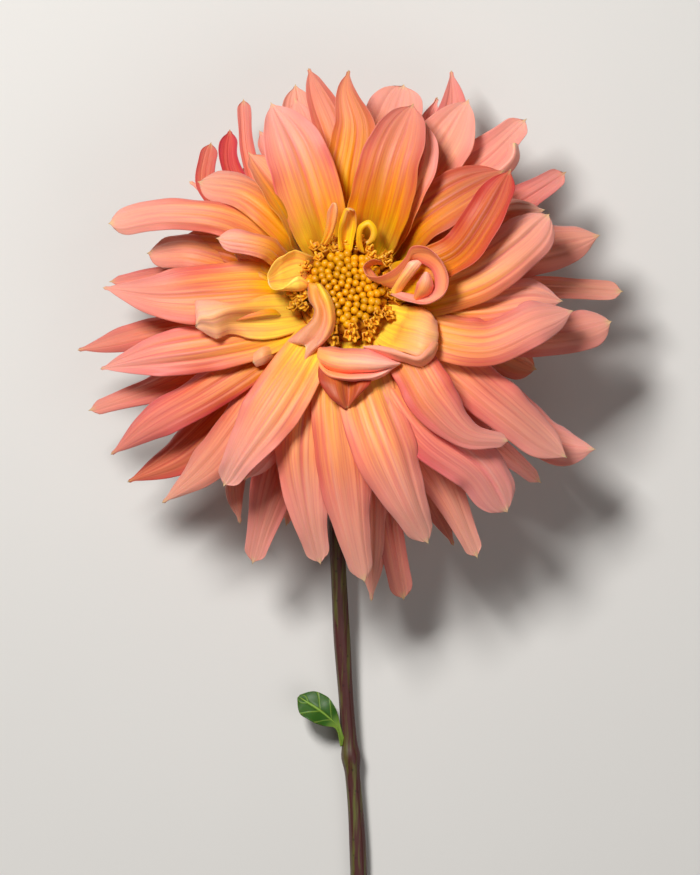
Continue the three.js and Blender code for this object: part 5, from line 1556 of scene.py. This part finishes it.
class DAHLIA_OT_stem(bpy.types.Operator):
    """The stem, with its swollen node and hollow cut end"""
    bl_idname = "dahlia.stem"
    bl_label = "Stem"

    def execute(self, context):
        settings = context.scene.dahlia_stem
        points = np.array([in_bloom(0, 0, STEM_TOP_DEPTH), *STEM_ROUTE])
        places = chain_places(points)
        shares = np.linspace(0, 1, STEM_SAMPLES)
        route = curve_through(points, places, shares)
        angles = np.arange(settings.sides) * 2 * math.pi / settings.sides
        flare = STEM_FLARE[0] * np.exp(-shares / STEM_FLARE[1])
        node = STEM_SWELLING[0] * np.exp(-((shares - STEM_NODE_PLACE) / STEM_SWELLING[1]) ** 2)
        slim = sum(height * np.sin(shares * turns) for height, turns in STEM_SLIM)
        (low, few), (lower, many) = STEM_RIBS
        twisted = few * angles[None, :] + STEM_RIB_TWIST * shares[:, None]
        ribs = low * np.cos(twisted) + lower * np.cos(many * angles[None, :])
        radii = (STEM_RADIUS - 0.15 + flare + node + slim)[:, None] + ribs
        corners, faces = tube(route, radii, settings.sides, hollow=(STEM_HOLLOW_RADIUS, STEM_HOLLOW_DEPTH))
        corners[:, 2] = np.maximum(corners[:, 2], FLOOR)
        mesh = facing_out(plain_mesh("cut_stem", (corners + DISC_AT) * MM, faces))

        # Stem: smooth firm skin with a soft shine along it, and long green streaks
        skin = streaked_skin(
            "dahlia stem", settings.maroon, settings.olive, STEM_STREAKS,
            Roughness=0.45, Specular_IOR_Level=0.45, Subsurface_Weight=0.05, Subsurface_Scale=0.001)
        finish_piece("cut_stem", mesh, skin, "stem")
        return {"FINISHED"}


class DAHLIA_OT_leaf(bpy.types.Operator):
    """The small leaf at the stem's node"""
    bl_idname = "dahlia.leaf"
    bl_label = "Leaf"

    def execute(self, context):
        settings = context.scene.dahlia_stem
        stations = np.array(LEAF_STATIONS)
        across, along = LEAF_FACES
        blade = Blade(stations[:, :3], stations[:, 3:], np.linspace(0, 1, along + 1), across)
        u = blade.columns[None, :]
        v = blade.shares[:, None]
        body = smooth(v, 0.35, 0.5) * (1 - smooth(v, 0.9, 1))
        wave = LEAF_WAVE[0] * np.sin(LEAF_WAVE[1] * v) * u ** 2
        groove = LEAF_GROOVE[0] * np.exp(-(u / LEAF_GROOVE[1]) ** 2)
        blade.relief(body * (wave - groove))
        mesh = closed_mesh("stem_leaf", [blade], LEAF_THICKNESS)
        finish_piece("stem_leaf", mesh, leaf_skin(settings), "leaf")
        return {"FINISHED"}


class DAHLIA_PT_panel(bpy.types.Panel):
    """Lists the flower's pieces and their settings"""
    bl_idname = "DAHLIA_PT_panel"
    bl_label = "Cut dahlia"
    bl_space_type = "VIEW_3D"
    bl_region_type = "UI"
    bl_category = "Dahlia"

    def draw(self, context):
        for operator in OPERATORS:
            self.layout.operator(operator.bl_idname)
        for key in SETTINGS:
            group = getattr(context.scene, key)
            for name in group.bl_rna.properties.keys():
                if name not in ("rna_type", "name"):
                    self.layout.prop(group, name)


SECTORS = {
    "petals_top": TOP_PETALS,
    "petals_left": LEFT_PETALS,
    "petals_lower": LOWER_PETALS,
    "petals_right": RIGHT_PETALS,
}
SETTINGS = {
    "dahlia_petals": PetalSettings,
    "dahlia_disc": DiscSettings,
    "dahlia_stem": StemSettings,
    "dahlia_stage": StageSettings,
}
OPERATORS = [
    DAHLIA_OT_stage, DAHLIA_OT_head, DAHLIA_OT_ray_petals, DAHLIA_OT_curled_petals, DAHLIA_OT_back_petals,
    DAHLIA_OT_disc, DAHLIA_OT_bracts, DAHLIA_OT_stem, DAHLIA_OT_leaf,
]


def register():
    """Makes the settings, operators and panel known to Blender."""
    for key, group in SETTINGS.items():
        bpy.utils.register_class(group)
        setattr(bpy.types.Scene, key, bpy.props.PointerProperty(type=group))
    for part in [*OPERATORS, DAHLIA_PT_panel]:
        bpy.utils.register_class(part)


def unregister():
    """Takes them away again."""
    for part in [DAHLIA_PT_panel, *OPERATORS]:
        bpy.utils.unregister_class(part)
    for key, group in SETTINGS.items():
        delattr(bpy.types.Scene, key)
        bpy.utils.unregister_class(group)


def main():
    """Makes every piece in order."""
    register()
    for operator in OPERATORS:
        group, name = operator.bl_idname.split(".")
        getattr(getattr(bpy.ops, group), name)()
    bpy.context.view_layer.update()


if __name__ == "__main__":
    main()
